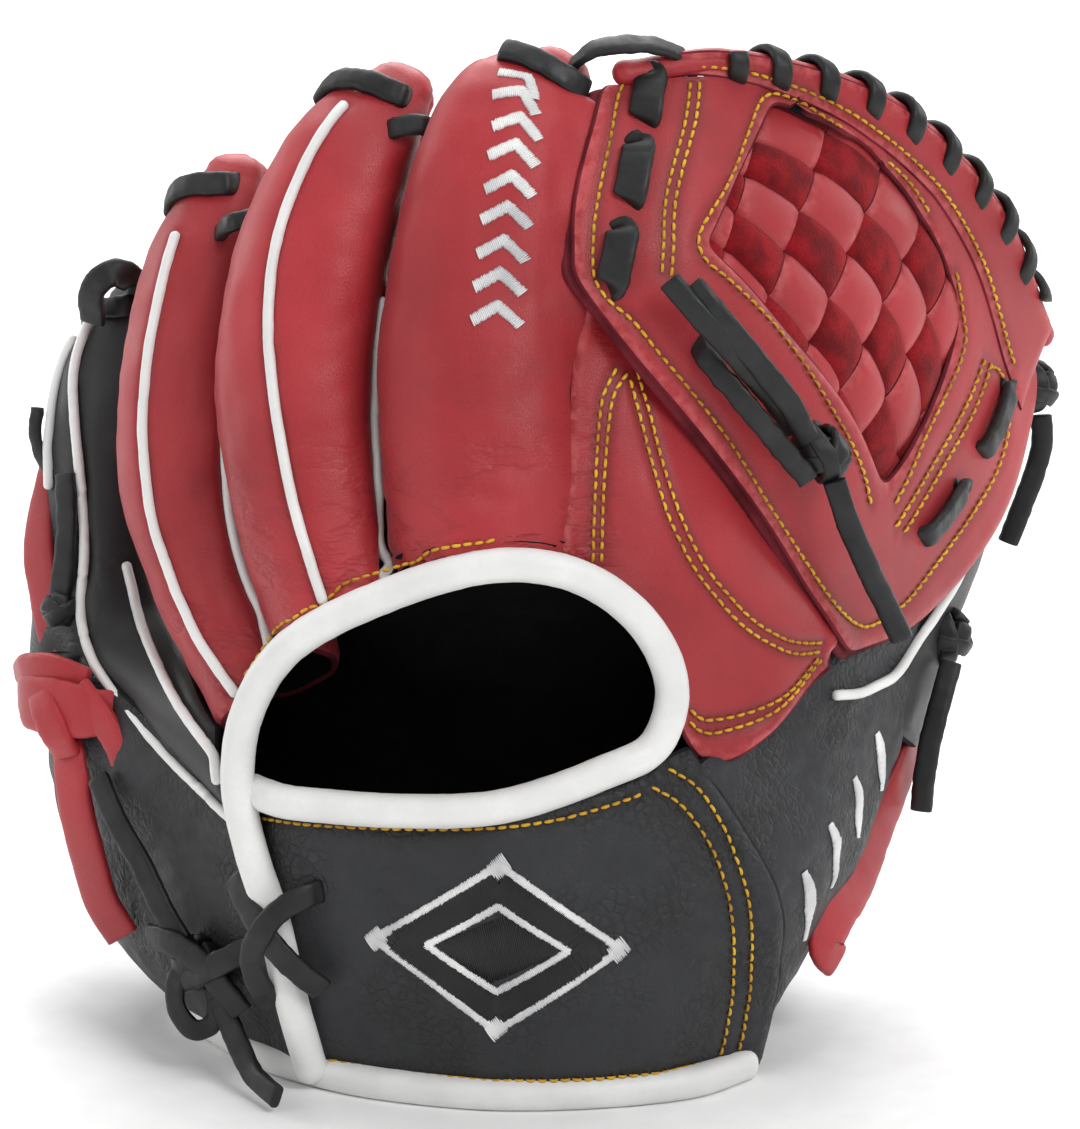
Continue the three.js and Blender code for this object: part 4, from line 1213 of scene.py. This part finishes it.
# ---------------------------------------------------------------- the web
window_corners = [(0.45, 0.27), (0.36, 0.82), (0.79, 0.79), (0.925, 0.33)]
outer_corners = [(-0.01, -0.05), (-0.01, 1.03), (0.95, 1.03), (0.95, -0.05)]


def around(corners, per_side, bend):
    """A closed loop of (v, u) through four corners, its sides bowed by bend."""
    made = []
    for k in range(4):
        a, b = np.array(corners[k]), np.array(corners[(k + 1) % 4])
        share = np.linspace(0, 1, per_side, endpoint=False)[:, None]
        bow = np.array(bend[k]) * (4 * share * (1 - share))
        made.append(a + (b - a) * share + bow)
    return np.vstack(made)


def rounded(loop, passes):
    """A closed loop of places with its corners smoothed."""
    for _ in range(passes):
        loop = (np.roll(loop, 1, 0) + 2 * loop + np.roll(loop, -1, 0)) / 4
    return loop


PER_SIDE = 60
window_bow = [(0.02, 0), (0, 0.02), (0.03, 0), (0, 0)]
window_loop = rounded(around(window_corners, PER_SIDE, window_bow), 14)
outer_bow = [(0.06, 0), (0, 0), (0, 0), (0, 0)]
outer_loop = rounded(around(outer_corners, PER_SIDE, outer_bow), 10)


def frame_grid(height, inner=0.0, outer=1.0, rows=26):
    """The ring of the web round its window, as a grid from the window to the outer edge."""
    share = np.linspace(inner, outer, rows)[:, None, None]
    places = window_loop[None] + (outer_loop - window_loop)[None] * share
    return web_surface.at(places[..., 0], places[..., 1], height)[:, ::-1]


web_rows = {
    "outline": [
        (0.94, -0.012), (0.892, -0.016), (0.576, -0.005), (0.403, 0.0), (0.156, 0.01), (0.075, 0.03),
        (0.07, 0.08), (0.1, 0.17), (0.1, 0.25), (0.105, 0.381), (0.1, 0.523), (0.065, 0.687),
        (0.055, 0.825), (0.06, 0.93), (0.1, 0.985), (0.2, 0.99), (0.43, 0.975), (0.567, 0.974),
        (0.737, 0.975), (0.8, 0.955), (0.815, 0.91), (0.793, 0.888)
    ],
    "left_1": [(0.93, 0.158), (0.787, 0.162), (0.615, 0.155), (0.481, 0.158), (0.29, 0.195)],
    "left_2": [(0.93, 0.18), (0.817, 0.186), (0.64, 0.178), (0.494, 0.18), (0.3, 0.219)],
    "window": [
        (0.89, 0.455), (0.928, 0.38), (0.93, 0.322), (0.806, 0.3), (0.701, 0.292), (0.62, 0.28),
        (0.525, 0.258), (0.439, 0.252), (0.415, 0.277), (0.418, 0.331), (0.423, 0.396), (0.423, 0.465),
        (0.41, 0.533), (0.391, 0.588), (0.365, 0.657), (0.345, 0.727), (0.325, 0.783), (0.305, 0.817)
    ],
    "window_top": [(0.895, 0.549), (0.888, 0.601), (0.868, 0.653)],
    "window_right": [
        (0.824, 0.745), (0.783, 0.79), (0.748, 0.818), (0.629, 0.828), (0.531, 0.832), (0.429, 0.845),
        (0.371, 0.851)
    ],
    "right_1": [
        (0.8, 0.885), (0.741, 0.888), (0.647, 0.888), (0.54, 0.886), (0.449, 0.89), (0.362, 0.896)
    ],
    "right_2": [
        (0.784, 0.868), (0.72, 0.87), (0.63, 0.87), (0.524, 0.869), (0.431, 0.872), (0.345, 0.878)
    ],
}
web_lines = rows_on(web_surface, web_rows.values(), steps=160)
under_tree = skin_tree("index_back_leather", "thumb_crotch_leather", "thumb_back_leather")
grid = laid_over(frame_grid(0.0), under_tree, 2.2)
made = sheet(
    "web_frame_leather", grid, LEATHER, RED_SET, wrap=True, lines=[r[0] for r in web_lines], groove=0.45
)
settle(made, "across", ["web_frame"])
web_tree = skin_tree("web_frame_leather")
rows = [snapped(points, web_tree, 0.12) for points, _ in web_lines]
settle(stitches("web_stitching", rows), "across")

STRIP_U = [0.38, 0.5, 0.612, 0.703, 0.783]
STRIP_V = [0.746, 0.735, 0.715, 0.68, 0.64]
ROW_STEP = -0.105
WEAVE_LEVEL = -1.9
WEAVE_RISE = 1.25


def cell(s, i):
    """The middle of square (i, row s) as (v, u); both may lie between squares."""
    i = np.asarray(i, float)
    k = np.clip(np.floor(i).astype(int), 0, 3)
    w = i - k
    u = np.array(STRIP_U)[k] * (1 - w) + np.array(STRIP_U)[k + 1] * w
    v = np.array(STRIP_V)[k] * (1 - w) + np.array(STRIP_V)[k + 1] * w
    return v + ROW_STEP * np.asarray(s, float), u


def weave_strip(line, face, ends, half=0.485, steps=150, across=9):
    """One strip: it climbs over and under its neighbours by turns, its edges turned down."""
    s = np.linspace(*ends, steps)[:, None]
    offset = np.linspace(-half, half, across)[None, :]
    sign = 1.0 if face else -1.0
    phase = np.cos(np.pi * (s + line))
    level = -sign * np.sign(phase) * np.abs(phase) ** 0.6 * WEAVE_RISE
    crown = 0.55 * (1 - (offset / half) ** 2) - 0.3
    if face:
        v, u = cell(s + 0 * offset, line + offset)
    else:
        v, u = cell(line + offset, s + 0 * offset)
    inside = np.clip(6 * (np.minimum(v - 0.33, 0.97 - v)), 0, 1) * np.clip(14 * (u - 0.24), 0, 1)
    inside = inside * np.clip(14 * (0.86 - u), 0, 1)
    height = WEAVE_LEVEL + (level + crown) * inside - 1.6 * (1 - inside)
    made = web_surface.at(v, u, height)
    return made[::-1] if face else made


for i in range(-1, 6):
    grid = weave_strip(i, True, (-2.6, 4.6))
    made = sheet(f"web_weave_strip_{i + 1}", grid, 1.3, [red, raw_edge, suede])
    settle(made, "thumb_side", [f"web_face_strip_{i + 1}"] if 0 <= i < 5 else [])
for j in range(-2, 4):
    grid = weave_strip(j, False, (-1.4, 5.3))
    made = sheet(f"web_suede_strip_{j + 3}", grid, 1.3, [suede, raw_edge, suede])
    settle(made, "thumb_side")
grid = laid_over(frame_grid(-LEATHER - 0.3, 0.06, 1.045), under_tree, 0.2)
made = sheet("web_back_layer", grid, 2.4, [raw_edge, raw_edge, suede], wrap=True)
settle(made, "across", ["web_inner_layer"])

# the band folded over the web's top edge
share = np.linspace(0.1, 0.985, 150)[None, :]
rise = np.linspace(0, 1, 14)[:, None]
BAND_U = [0.1, 0.14, 0.3, 0.5, 0.65, 0.8, 0.9, 0.985]
BAND_V = [0.97, 0.955, 0.945, 0.915, 0.905, 0.87, 0.84, 0.83]
inner_v = np.interp(share, BAND_U, BAND_V)
v = inner_v + (1.0 - inner_v) * rise
grid = web_surface.at(v, share + 0 * v, 0.9 + (ROLL_R + 0.2) * rise**1.5)
stitch_u = np.linspace(0.11, 0.93, 40)
stitch_v = np.interp(stitch_u, BAND_U, [0.985, 0.975, 0.965, 0.935, 0.925, 0.89, 0.86, 0.85])
band_row = rows_on(web_surface, [list(zip(stitch_v, stitch_u))], 1.2, 140)
made = sheet("web_top_band", grid, 1.3, RED_SET, lines=[band_row[0][0]], groove=0.35)
settle(made, "across")
band_tree = skin_tree("web_top_band")
settle(stitches("web_top_stitching", [snapped(band_row[0][0], band_tree, 0.12)]), "across")

# ---------------------------------------------------------------- the web's rolled top and laces
share = np.linspace(-0.02, 1.0, 140)
line = web_surface.at(np.full(140, 1.0), share)
mesh_points, mesh_faces = bar_mesh(
    line, 2 * ROLL_R + 0.8, 2 * ROLL_R, web_surface.normal(np.full(140, 0.98), share), square=2.4,
    ends=ROUND, wobble=0.08
)
settle(
    piece("web_top_roll_leather", mesh_points, mesh_faces, [red]), "across",
    ["web_top_roll"]
)

LOOPS = 9
turn_share = np.linspace(0, 1, LOOPS * 26 + 1)
u_coil = 0.24 + 0.69 * turn_share
turn = 2 * math.pi * LOOPS * turn_share
out = web_surface.normal(np.full_like(u_coil, 0.98), u_coil)
into = unit(
    web_surface.at(
        np.full_like(u_coil, 0.95), u_coil
    ) - web_surface.at(np.full_like(u_coil, 1.0), u_coil)
)
spoke = out * np.cos(turn)[:, None] + into * np.sin(turn)[:, None]
line = web_surface.at(np.full_like(u_coil, 1.0), u_coil) + spoke * (ROLL_R + 1.7)
mesh_points, mesh_faces = bar_mesh(line, 4.6, 2.3, spoke, wobble=0.08)
settle(
    piece("web_top_lacing", mesh_points, mesh_faces, [rawhide]), "across",
    ["web_top_lace"]
)


def running_lace(name, node, start, end, count, width, facing):
    """A lace that runs over and under the web by turns from one (v, u) to another."""
    shares, heights = [], []
    for middle in (np.arange(count) + 0.5) / count:
        for away, height in (
            (-0.31, -3.6), (-0.285, 1.2), (-0.15, 1.9), (0.15, 1.9), (0.285, 1.2), (0.31, -3.6)
        ):
            shares.append(middle + away / count)
            heights.append(height)
    shares = np.array(shares)
    v = start[0] + (end[0] - start[0]) * shares
    u = start[1] + (end[1] - start[1]) * shares
    points = web_surface.at(v, u, np.array(heights))
    mesh_points, mesh_faces = bar_mesh(
        centripetal(points, 260), width, 2.4, facing, square=5, wobble=0.1
    )
    settle(piece(name, mesh_points, mesh_faces, [rawhide]), "across", [node])


running_lace(
    "index_side_lacing", "web_index_lace", (0.07, 0.085), (1.02, 0.05), 3, 7.6, [-0.2, -1, 0.3]
)
running_lace(
    "thumb_side_lacing", "web_thumb_lace", (0.36, 0.925), (0.86, 0.935), 2, 6.2, [0.5, -0.8, -0.4]
)

# ---------------------------------------------------------------- welts and bindings
back_skins = [name + "_back_leather" for name in ("index", "middle", "ring", "pinky")]
hand_tree = skin_tree(*back_skins, "pinky_heel_leather", "pinky_base_leather")
thumb_tree = skin_tree("thumb_back_leather", "thumb_heel_leather")
welt_nodes = {
    "middle_crest": "middle_crest_welt", "ring_crest": "ring_crest_welt", "index_middle": "index_middle_welt",
    "ring_middle": "ring_middle_welt", "pinky_crest": "pinky_crest_welt", "ring_pinky": None,
    "pinky_outer": None, "thumb_back": None,
}
for name, node in welt_nodes.items():
    on_thumb = name == "thumb_back"
    raised = 1.5 if name in ("pinky_crest", "ring_pinky") else 0.75
    places, normals = snapped(dense_seams[name], thumb_tree if on_thumb else hand_tree, raised)
    for _ in range(14):
        places[1:-1] = (places[:-2] + 2 * places[1:-1] + places[2:]) / 4
    mesh_points, mesh_faces = bar_mesh(
        places, 2.5, 2.4, normals, square=2.2, sides=10, ends=ROUND, wobble=0.04
    )
    made = piece(name + "_piping", mesh_points, mesh_faces, [white])
    settle(made, "thumb_side" if on_thumb else "hand", [node] if node else [])


def binding(name, points, steps, radius, node, facing, seed=1):
    """A rolled white binding along an edge."""
    mesh_points, mesh_faces = bar_mesh(
        centripetal(points, steps), 2 * radius, 2 * radius, facing, square=2.3, sides=26,
        ends=ROUND, wobble=0.035, seed=seed,
    )
    settle(piece(name, mesh_points, mesh_faces, [white]), "across", [node])


binding(
    "opening_rolled_binding",
    opening_edge[:-1] + [[-58, -45.5, 70.5], [-63, -40, 70.3], [-66, -35.5, 70]], 420, BINDING_R,
    "opening_binding", [0.1, -1, 0.2]
)
binding("heel_rolled_binding", heel_edge, 360, BINDING_R, "heel_binding", [0, 0, 1], seed=4)

# ---------------------------------------------------------------- fingertip laces
tips = {
    "index": ((0.87, 128), (0.97, 44)), "middle": ((0.84, 170), (0.95, 70)),
    "ring": ((0.85, 172), (0.95, 70)), "pinky": ((0.82, 175), (0.94, 60)),
}
for number, (name, ends) in enumerate(tips.items()):
    stall = stalls[name]
    (t0, w0), (t1, w1) = ends
    share = np.linspace(-0.12, 1.12, 60)
    t, degrees = t0 + (t1 - t0) * share, w0 + (w1 - w0) * share
    sink = 3.2 * np.clip(np.maximum(-share, share - 1) / 0.12, 0, 1)
    line = stall.at(t, degrees, -1.7 + sink)
    spoke = unit(stall.at(t, degrees, -4) - stall.at(t, degrees, 4))
    mesh_points, mesh_faces = bar_mesh(line, 5.6, 2.5, spoke, wobble=0.1, seed=number)
    made = piece(name + "_tip_lacing", mesh_points, mesh_faces, [rawhide])
    settle(made, "hand", [name + "_tip_lace"])

# ---------------------------------------------------------------- knots and ties
knots = {
    "web_knot": ("thumb_side", [64, -20, 146], [7.5, 6, 6], 30),
    "heel_knot": ("hand", [-79, -27.5, 25], [7, 5.5, 6.5], 20),
    "thumb_tip_knot": ("thumb_side", [122, 78, 139], [6, 5.5, 6.5], 0),
    "thumb_low_knot": ("thumb_side", [99, 42, 85], [6, 5.5, 7], 10),
}
for number, (name, (body, centre, radii, tilt)) in enumerate(knots.items()):
    mesh_points, mesh_faces = joined(knot_parts(centre, radii, tilt, seed=number + 1))
    settle(piece(name + "_lacing", mesh_points, mesh_faces, [rawhide]), body, [name])

made = bar(
    "strap_cross_lacing", [
        [-70, -39, 50], [-67, -45.5, 46], [-63, -51.5, 41], [-57, -52.5, 34], [-50, -50, 27]
    ],
    6.0, 2.4, [-0.3, -1, 0], rawhide, wobble=0.1,
)
settle(made, "hand", ["strap_cross_lace"])
made = bar(
    "pinky_loop_thong",
    [[-119, 45, 128], [-120, 40, 118], [-120.5, 35, 108], [-118.5, 30, 97], [-116.5, 25, 86],
     [-114.5, 19, 78],
     [-112, 8, 66], [-110, 2, 54], [-107, -1, 42], [-104, -3, 32], [-99, -5, 24]],
    [3, 8, 10.5, 10.5, 8, 8, 10.5, 11, 11, 11, 10.5], 2.8, [-0.8, -1, 0], red, steps=110, wobble=0.07,
)
settle(made, "hand", ["pinky_loop_tie"])
folds = [
    (
        [[-124, 26, 74], [-122, 16, 76], [-115, 8, 77], [-106, 3, 77], [-99.5, 3, 78]],
        [9, 13, 14, 13, 9], 3.6, 21
    ),
    ([[-125, 27, 80], [-122, 18, 83], [-115, 11, 84.5], [-107, 8, 83.5]], [6, 8.5, 9, 6], 3.2, 22),
    ([[-109, 6, 82], [-104, 1.5, 77], [-100, -1.5, 71], [-97.5, -4, 65]], [7, 7.5, 7, 6], 2.8, 23),
    ([[-120, 18, 83], [-117.5, 8.5, 77], [-114.5, 5, 71], [-112, 6, 66]], [7, 8.5, 8.5, 8], 3.2, 24),
]
for number, (points, width, thick, seed) in enumerate(folds):
    made = bar(
        f"pinky_thong_fold_{number + 1}", points, width, thick, [-0.7, -1, 0.15], red, steps=70,
        wobble=0.07, seed=seed
    )
    settle(made, "hand")
made = bar(
    "thumb_loop_thong",
    [
        [93, 48, 74], [92, 42, 65], [88.5, 33, 54], [82.5, 23, 44], [76, 9, 35.5], [70, -5, 30],
        [67.5, -11, 24], [70, -8, 19]
    ],
    [7, 9, 10, 12, 14, 14, 12, 9], 2.8,
    [
        [1, -0.4, -0.1], [1, -0.5, 0], [0.9, -0.7, 0.1], [0.7, -0.8, 0.3], [0.7, -0.8, 0.2]
    ], red, steps=90, wobble=0.08,
)
settle(made, "thumb_side", ["thumb_loop_tie"])

# ---------------------------------------------------------------- the other pieces of lace
more_laces = {
    "strap_cross_over": (
        "hand",
        [[-50, -49, 50.5], [-53.5, -52.2, 50], [-58.5, -53.4, 47.5], [-63.8, -53.2, 41],
         [-65.8, -49.5, 33], [-63.5, -47.5, 25.5], [-61, -44, 21]],
        5.6, [-0.2, -1, 0],
    ),
    "heel_loop": (
        "hand",
        [[-79, -29, 27], [-84, -29.5, 23], [-84.5, -32, 16], [-80, -35, 11.5], [-75.5, -35, 14],
         [-76, -32, 21]],
        4.8, [-0.5, -1, 0.2],
    ),
    "heel_fold_1": (
        "hand",
        [[-91, -22, 30], [-86, -29, 31], [-79, -34, 28], [-73, -37, 22], [-69, -38, 17]],
        6.2, [-0.4, -1, 0],
    ),
    "heel_fold_2": (
        "hand",
        [[-67, -39, 33], [-72, -38, 30], [-79, -34, 25], [-86, -27, 20]],
        6.0, [-0.4, -1, 0.3],
    ),
    "web_second_strand": (
        "thumb_side",
        [[61, -24, 149], [57, -27.5, 158], [49, -31, 169], [41, -32, 179], [34, -30.5, 187]],
        5.6, [-0.2, -1, 0.1],
    ),
    "web_under_strand": (
        "thumb_side",
        [[35.5, -22, 172.5], [38, -27.5, 169], [45, -29.5, 161], [53, -28.5, 151], [61, -26, 141]],
        5.2, [-0.2, -1, 0.1],
    ),
    "web_to_index": (
        "across",
        [[7, 8, 230], [12, 4, 234.5], [19, 3, 236], [27, 6.5, 235], [33, 10.5, 232]],
        5.4, [0, -0.6, 1],
    ),
    "pinky_tip_stub": (
        "hand",
        [[-96, 48, 167], [-97, 43.5, 172.5], [-102, 40.5, 175], [-106.5, 39.5, 171.5],
         [-107, 41.5, 163]],
        7, [-0.5, -1, 0.5],
    ),
    "index_middle_bit": (
        "hand",
        [[-37, 12, 212], [-33, 5, 216.5], [-27, 5, 217], [-24, 10, 214]],
        5, [-0.2, -1, 0.6],
    ),
    "middle_ring_bit": (
        "hand",
        [[-75, 18, 189], [-71.5, 11, 193], [-67, 11, 194], [-64, 16, 191]],
        4.6, [-0.2, -1, 0.6],
    ),
    "pinky_side_lace": (
        "hand",
        [[-121, 45, 141], [-121.5, 43, 134], [-119, 41, 128], [-115, 38, 124]],
        3.2, [-0.8, -1, 0],
    ),
    "pinky_side_strap": (
        "hand",
        [[-113.5, 31, 128], [-113, 27.5, 119], [-113.5, 25, 109], [-115, 24, 99]],
        5.6, [-0.7, -1, 0],
    ),
}
for number, (name, (body, points, width, facing)) in enumerate(more_laces.items()):
    made = bar(name + "_lacing", points, width, 2.4, facing, rawhide, wobble=0.12, seed=40 + number)
    settle(made, body)
mesh_points, mesh_faces = joined(knot_parts([-114.5, 23, 97], [4.5, 4, 4.2], 0, 4.4, 2.2, seed=7))
settle(piece("pinky_side_knot", mesh_points, mesh_faces, [rawhide]), "hand")


# ---------------------------------------------------------------- embroidery
def satin(name, strokes, tree, look, pitch=0.4, radius=0.25, seed=1, body="hand"):
    """Satin stitch: threads laid side by side across each (line, width) stroke, on a skin."""
    random = np.random.RandomState(seed)
    across = np.linspace(-1, 1, 7)
    all_points, all_normals = [], []
    for line, width in strokes:
        line = even(line, 40)
        total = np.linalg.norm(np.diff(line, axis=0), axis=1).sum()
        count = max(4, int(total / pitch))
        centres, normals = snapped(even(line, count), tree)
        along = unit(np.gradient(centres, axis=0))
        side = unit(np.cross(normals, along) + along * 0.16)
        half = np.interp(
            np.linspace(0, 1, count), np.linspace(0, 1, np.size(width)), np.ravel(width)
        ) / 2
        half = half + random.uniform(-0.14, 0.14, count)
        places = centres[:, None] + side[:, None] * (half[:, None] * across)[..., None]
        on, up = snapped(places.reshape(-1, 3), tree)
        crown = 0.16 + (1 - across**2) * 0.14 * np.sqrt(np.maximum(half, 0.3))[:, None]
        crown = crown + random.uniform(-0.05, 0.05, (count, 1))
        up = up.reshape(count, 7, 3)
        all_points.append(on.reshape(count, 7, 3) + up * crown[..., None])
        all_normals.append(up)
    p, n = np.concatenate(all_points), np.concatenate(all_normals)
    tangent = unit(np.gradient(p, axis=1))
    side = unit(np.cross(n, tangent))
    angle = 2 * math.pi * np.arange(5) / 5
    fat = radius * np.array([0.5, 0.9, 1, 1, 1, 0.9, 0.5])[None, :, None, None]
    ring = p[:, :, None] + fat * (
        side[:, :, None] * np.cos(angle)[:, None] + n[:, :, None] * np.sin(angle)[:, None]
    )
    ids = np.arange(len(p) * 35).reshape(len(p), 7, 5)
    right = np.roll(ids, -1, 2)
    faces = np.stack([ids[:, :-1], right[:, :-1], right[:, 1:], ids[:, 1:]], -1).reshape(-1, 4).tolist()
    faces += ids[:, 0, ::-1].tolist() + ids[:, -1].tolist()
    settle(piece(name, ring.reshape(-1, 3), faces, [look]), body)


def local_frame(centre, tree, upward):
    """A point on a skin with the directions across and up it."""
    place, normal = snapped([centre], tree)
    up = unit(np.array(upward, float) - normal[0] * (np.array(upward, float) @ normal[0]))
    return place[0], unit(np.cross(up, normal[0])), up


index_tree = skin_tree("index_back_leather")
index = stalls["index"]
chevrons = []
marks_at = np.linspace(0, 1, 9)
mark_t = np.interp(marks_at, [0, 0.25, 0.5, 0.75, 1], [0.375, 0.465, 0.565, 0.68, 0.8])
mark_degrees = np.interp(marks_at, [0, 0.5, 0.75, 1], [85, 86, 88, 95])
for t, degrees in zip(mark_t, mark_degrees):
    ahead = index.at(t + 0.01, degrees) - index.at(t - 0.01, degrees)
    centre, x, y = local_frame(index.at(t, degrees), index_tree, ahead)
    for sign in (-1, 1):
        chevrons.append(
            (np.array([centre - sign * x * 5.4 - y * 2.3, centre + y * 1.9 + sign * x * 0.35]), 2.7)
        )
satin("index_chevron_embroidery", chevrons, index_tree, white_thread)

centre, x, y = local_frame([-9.5, -57, 39.5], strap_tree, [0.02, 0, 1])


def diamond(half_x, half_y, width):
    """Four strokes round the emblem's centre."""
    corners = [centre + x * half_x, centre + y * half_y, centre - x * half_x, centre - y * half_y]
    return [(np.array([a, b]), width) for a, b in zip(corners, corners[1:] + corners[:1])]


def base_mark(corner, size):
    """A small square at a corner of the emblem."""
    return [(np.array([corner - (x + y) * size * 0.35, corner + (x + y) * size * 0.35]), size)]


fill = np.linspace(-13.5, 13.5, 9)[:, None]
fill_width = 2 * 8.2 * (1 - np.abs(fill.ravel()) / 15.0)
black_strokes = diamond(23.2, 15.0, 7.6) + [(centre + x * fill, fill_width)]
satin("strap_emblem_field", black_strokes, strap_tree, black_thread, seed=2, body="across")
white_strokes = diamond(29.0, 19.8, 2.1) + diamond(16.4, 10.3, 1.9)
for corner in (centre + x * 28.4, centre + y * 19.4, centre - x * 28.4, centre - y * 19.4):
    white_strokes += base_mark(corner, 4.4)
satin("strap_emblem_outline", white_strokes, strap_tree, white_thread, seed=3, body="across")

thumb_heel_tree = skin_tree("thumb_heel_leather")
bars = []
for k in range(4):
    v, u = 0.36 + 0.105 * k, 0.17 + 0.082 * k
    line = thumb_heel_surface.at(
        np.linspace(v - 0.1, v + 0.11, 10), np.linspace(u + 0.035, u - 0.04, 10)
    )
    bars.append((line, [2.2, 4.2, 4.6, 4.2, 2.2]))
satin("thumb_slant_embroidery", bars, thumb_heel_tree, white_thread, seed=4, body="thumb_side")

above_opening = [
    [-69, -36, 100.5], [
        -59.5, -42, 111.5
    ], [-48, -46, 120.5], [-36, -49, 127], [-22, -52, 131.6], [-9, -54, 134.2],
]
row = snapped(centripetal(above_opening, 90), hand_tree, 0.15)
settle(stitches("opening_stitching", [row]), "hand")

# ---------------------------------------------------------------- floor
FLOOR = 12.0
bpy.ops.mesh.primitive_grid_add(
    x_subdivisions=8, y_subdivisions=8, size=FLOOR, location=(0, 0, -0.0002)
)
floor = bpy.context.object
floor.name = "studio_floor"
floor.data.materials.append(floor_look)
floor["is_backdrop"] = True

low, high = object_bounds()
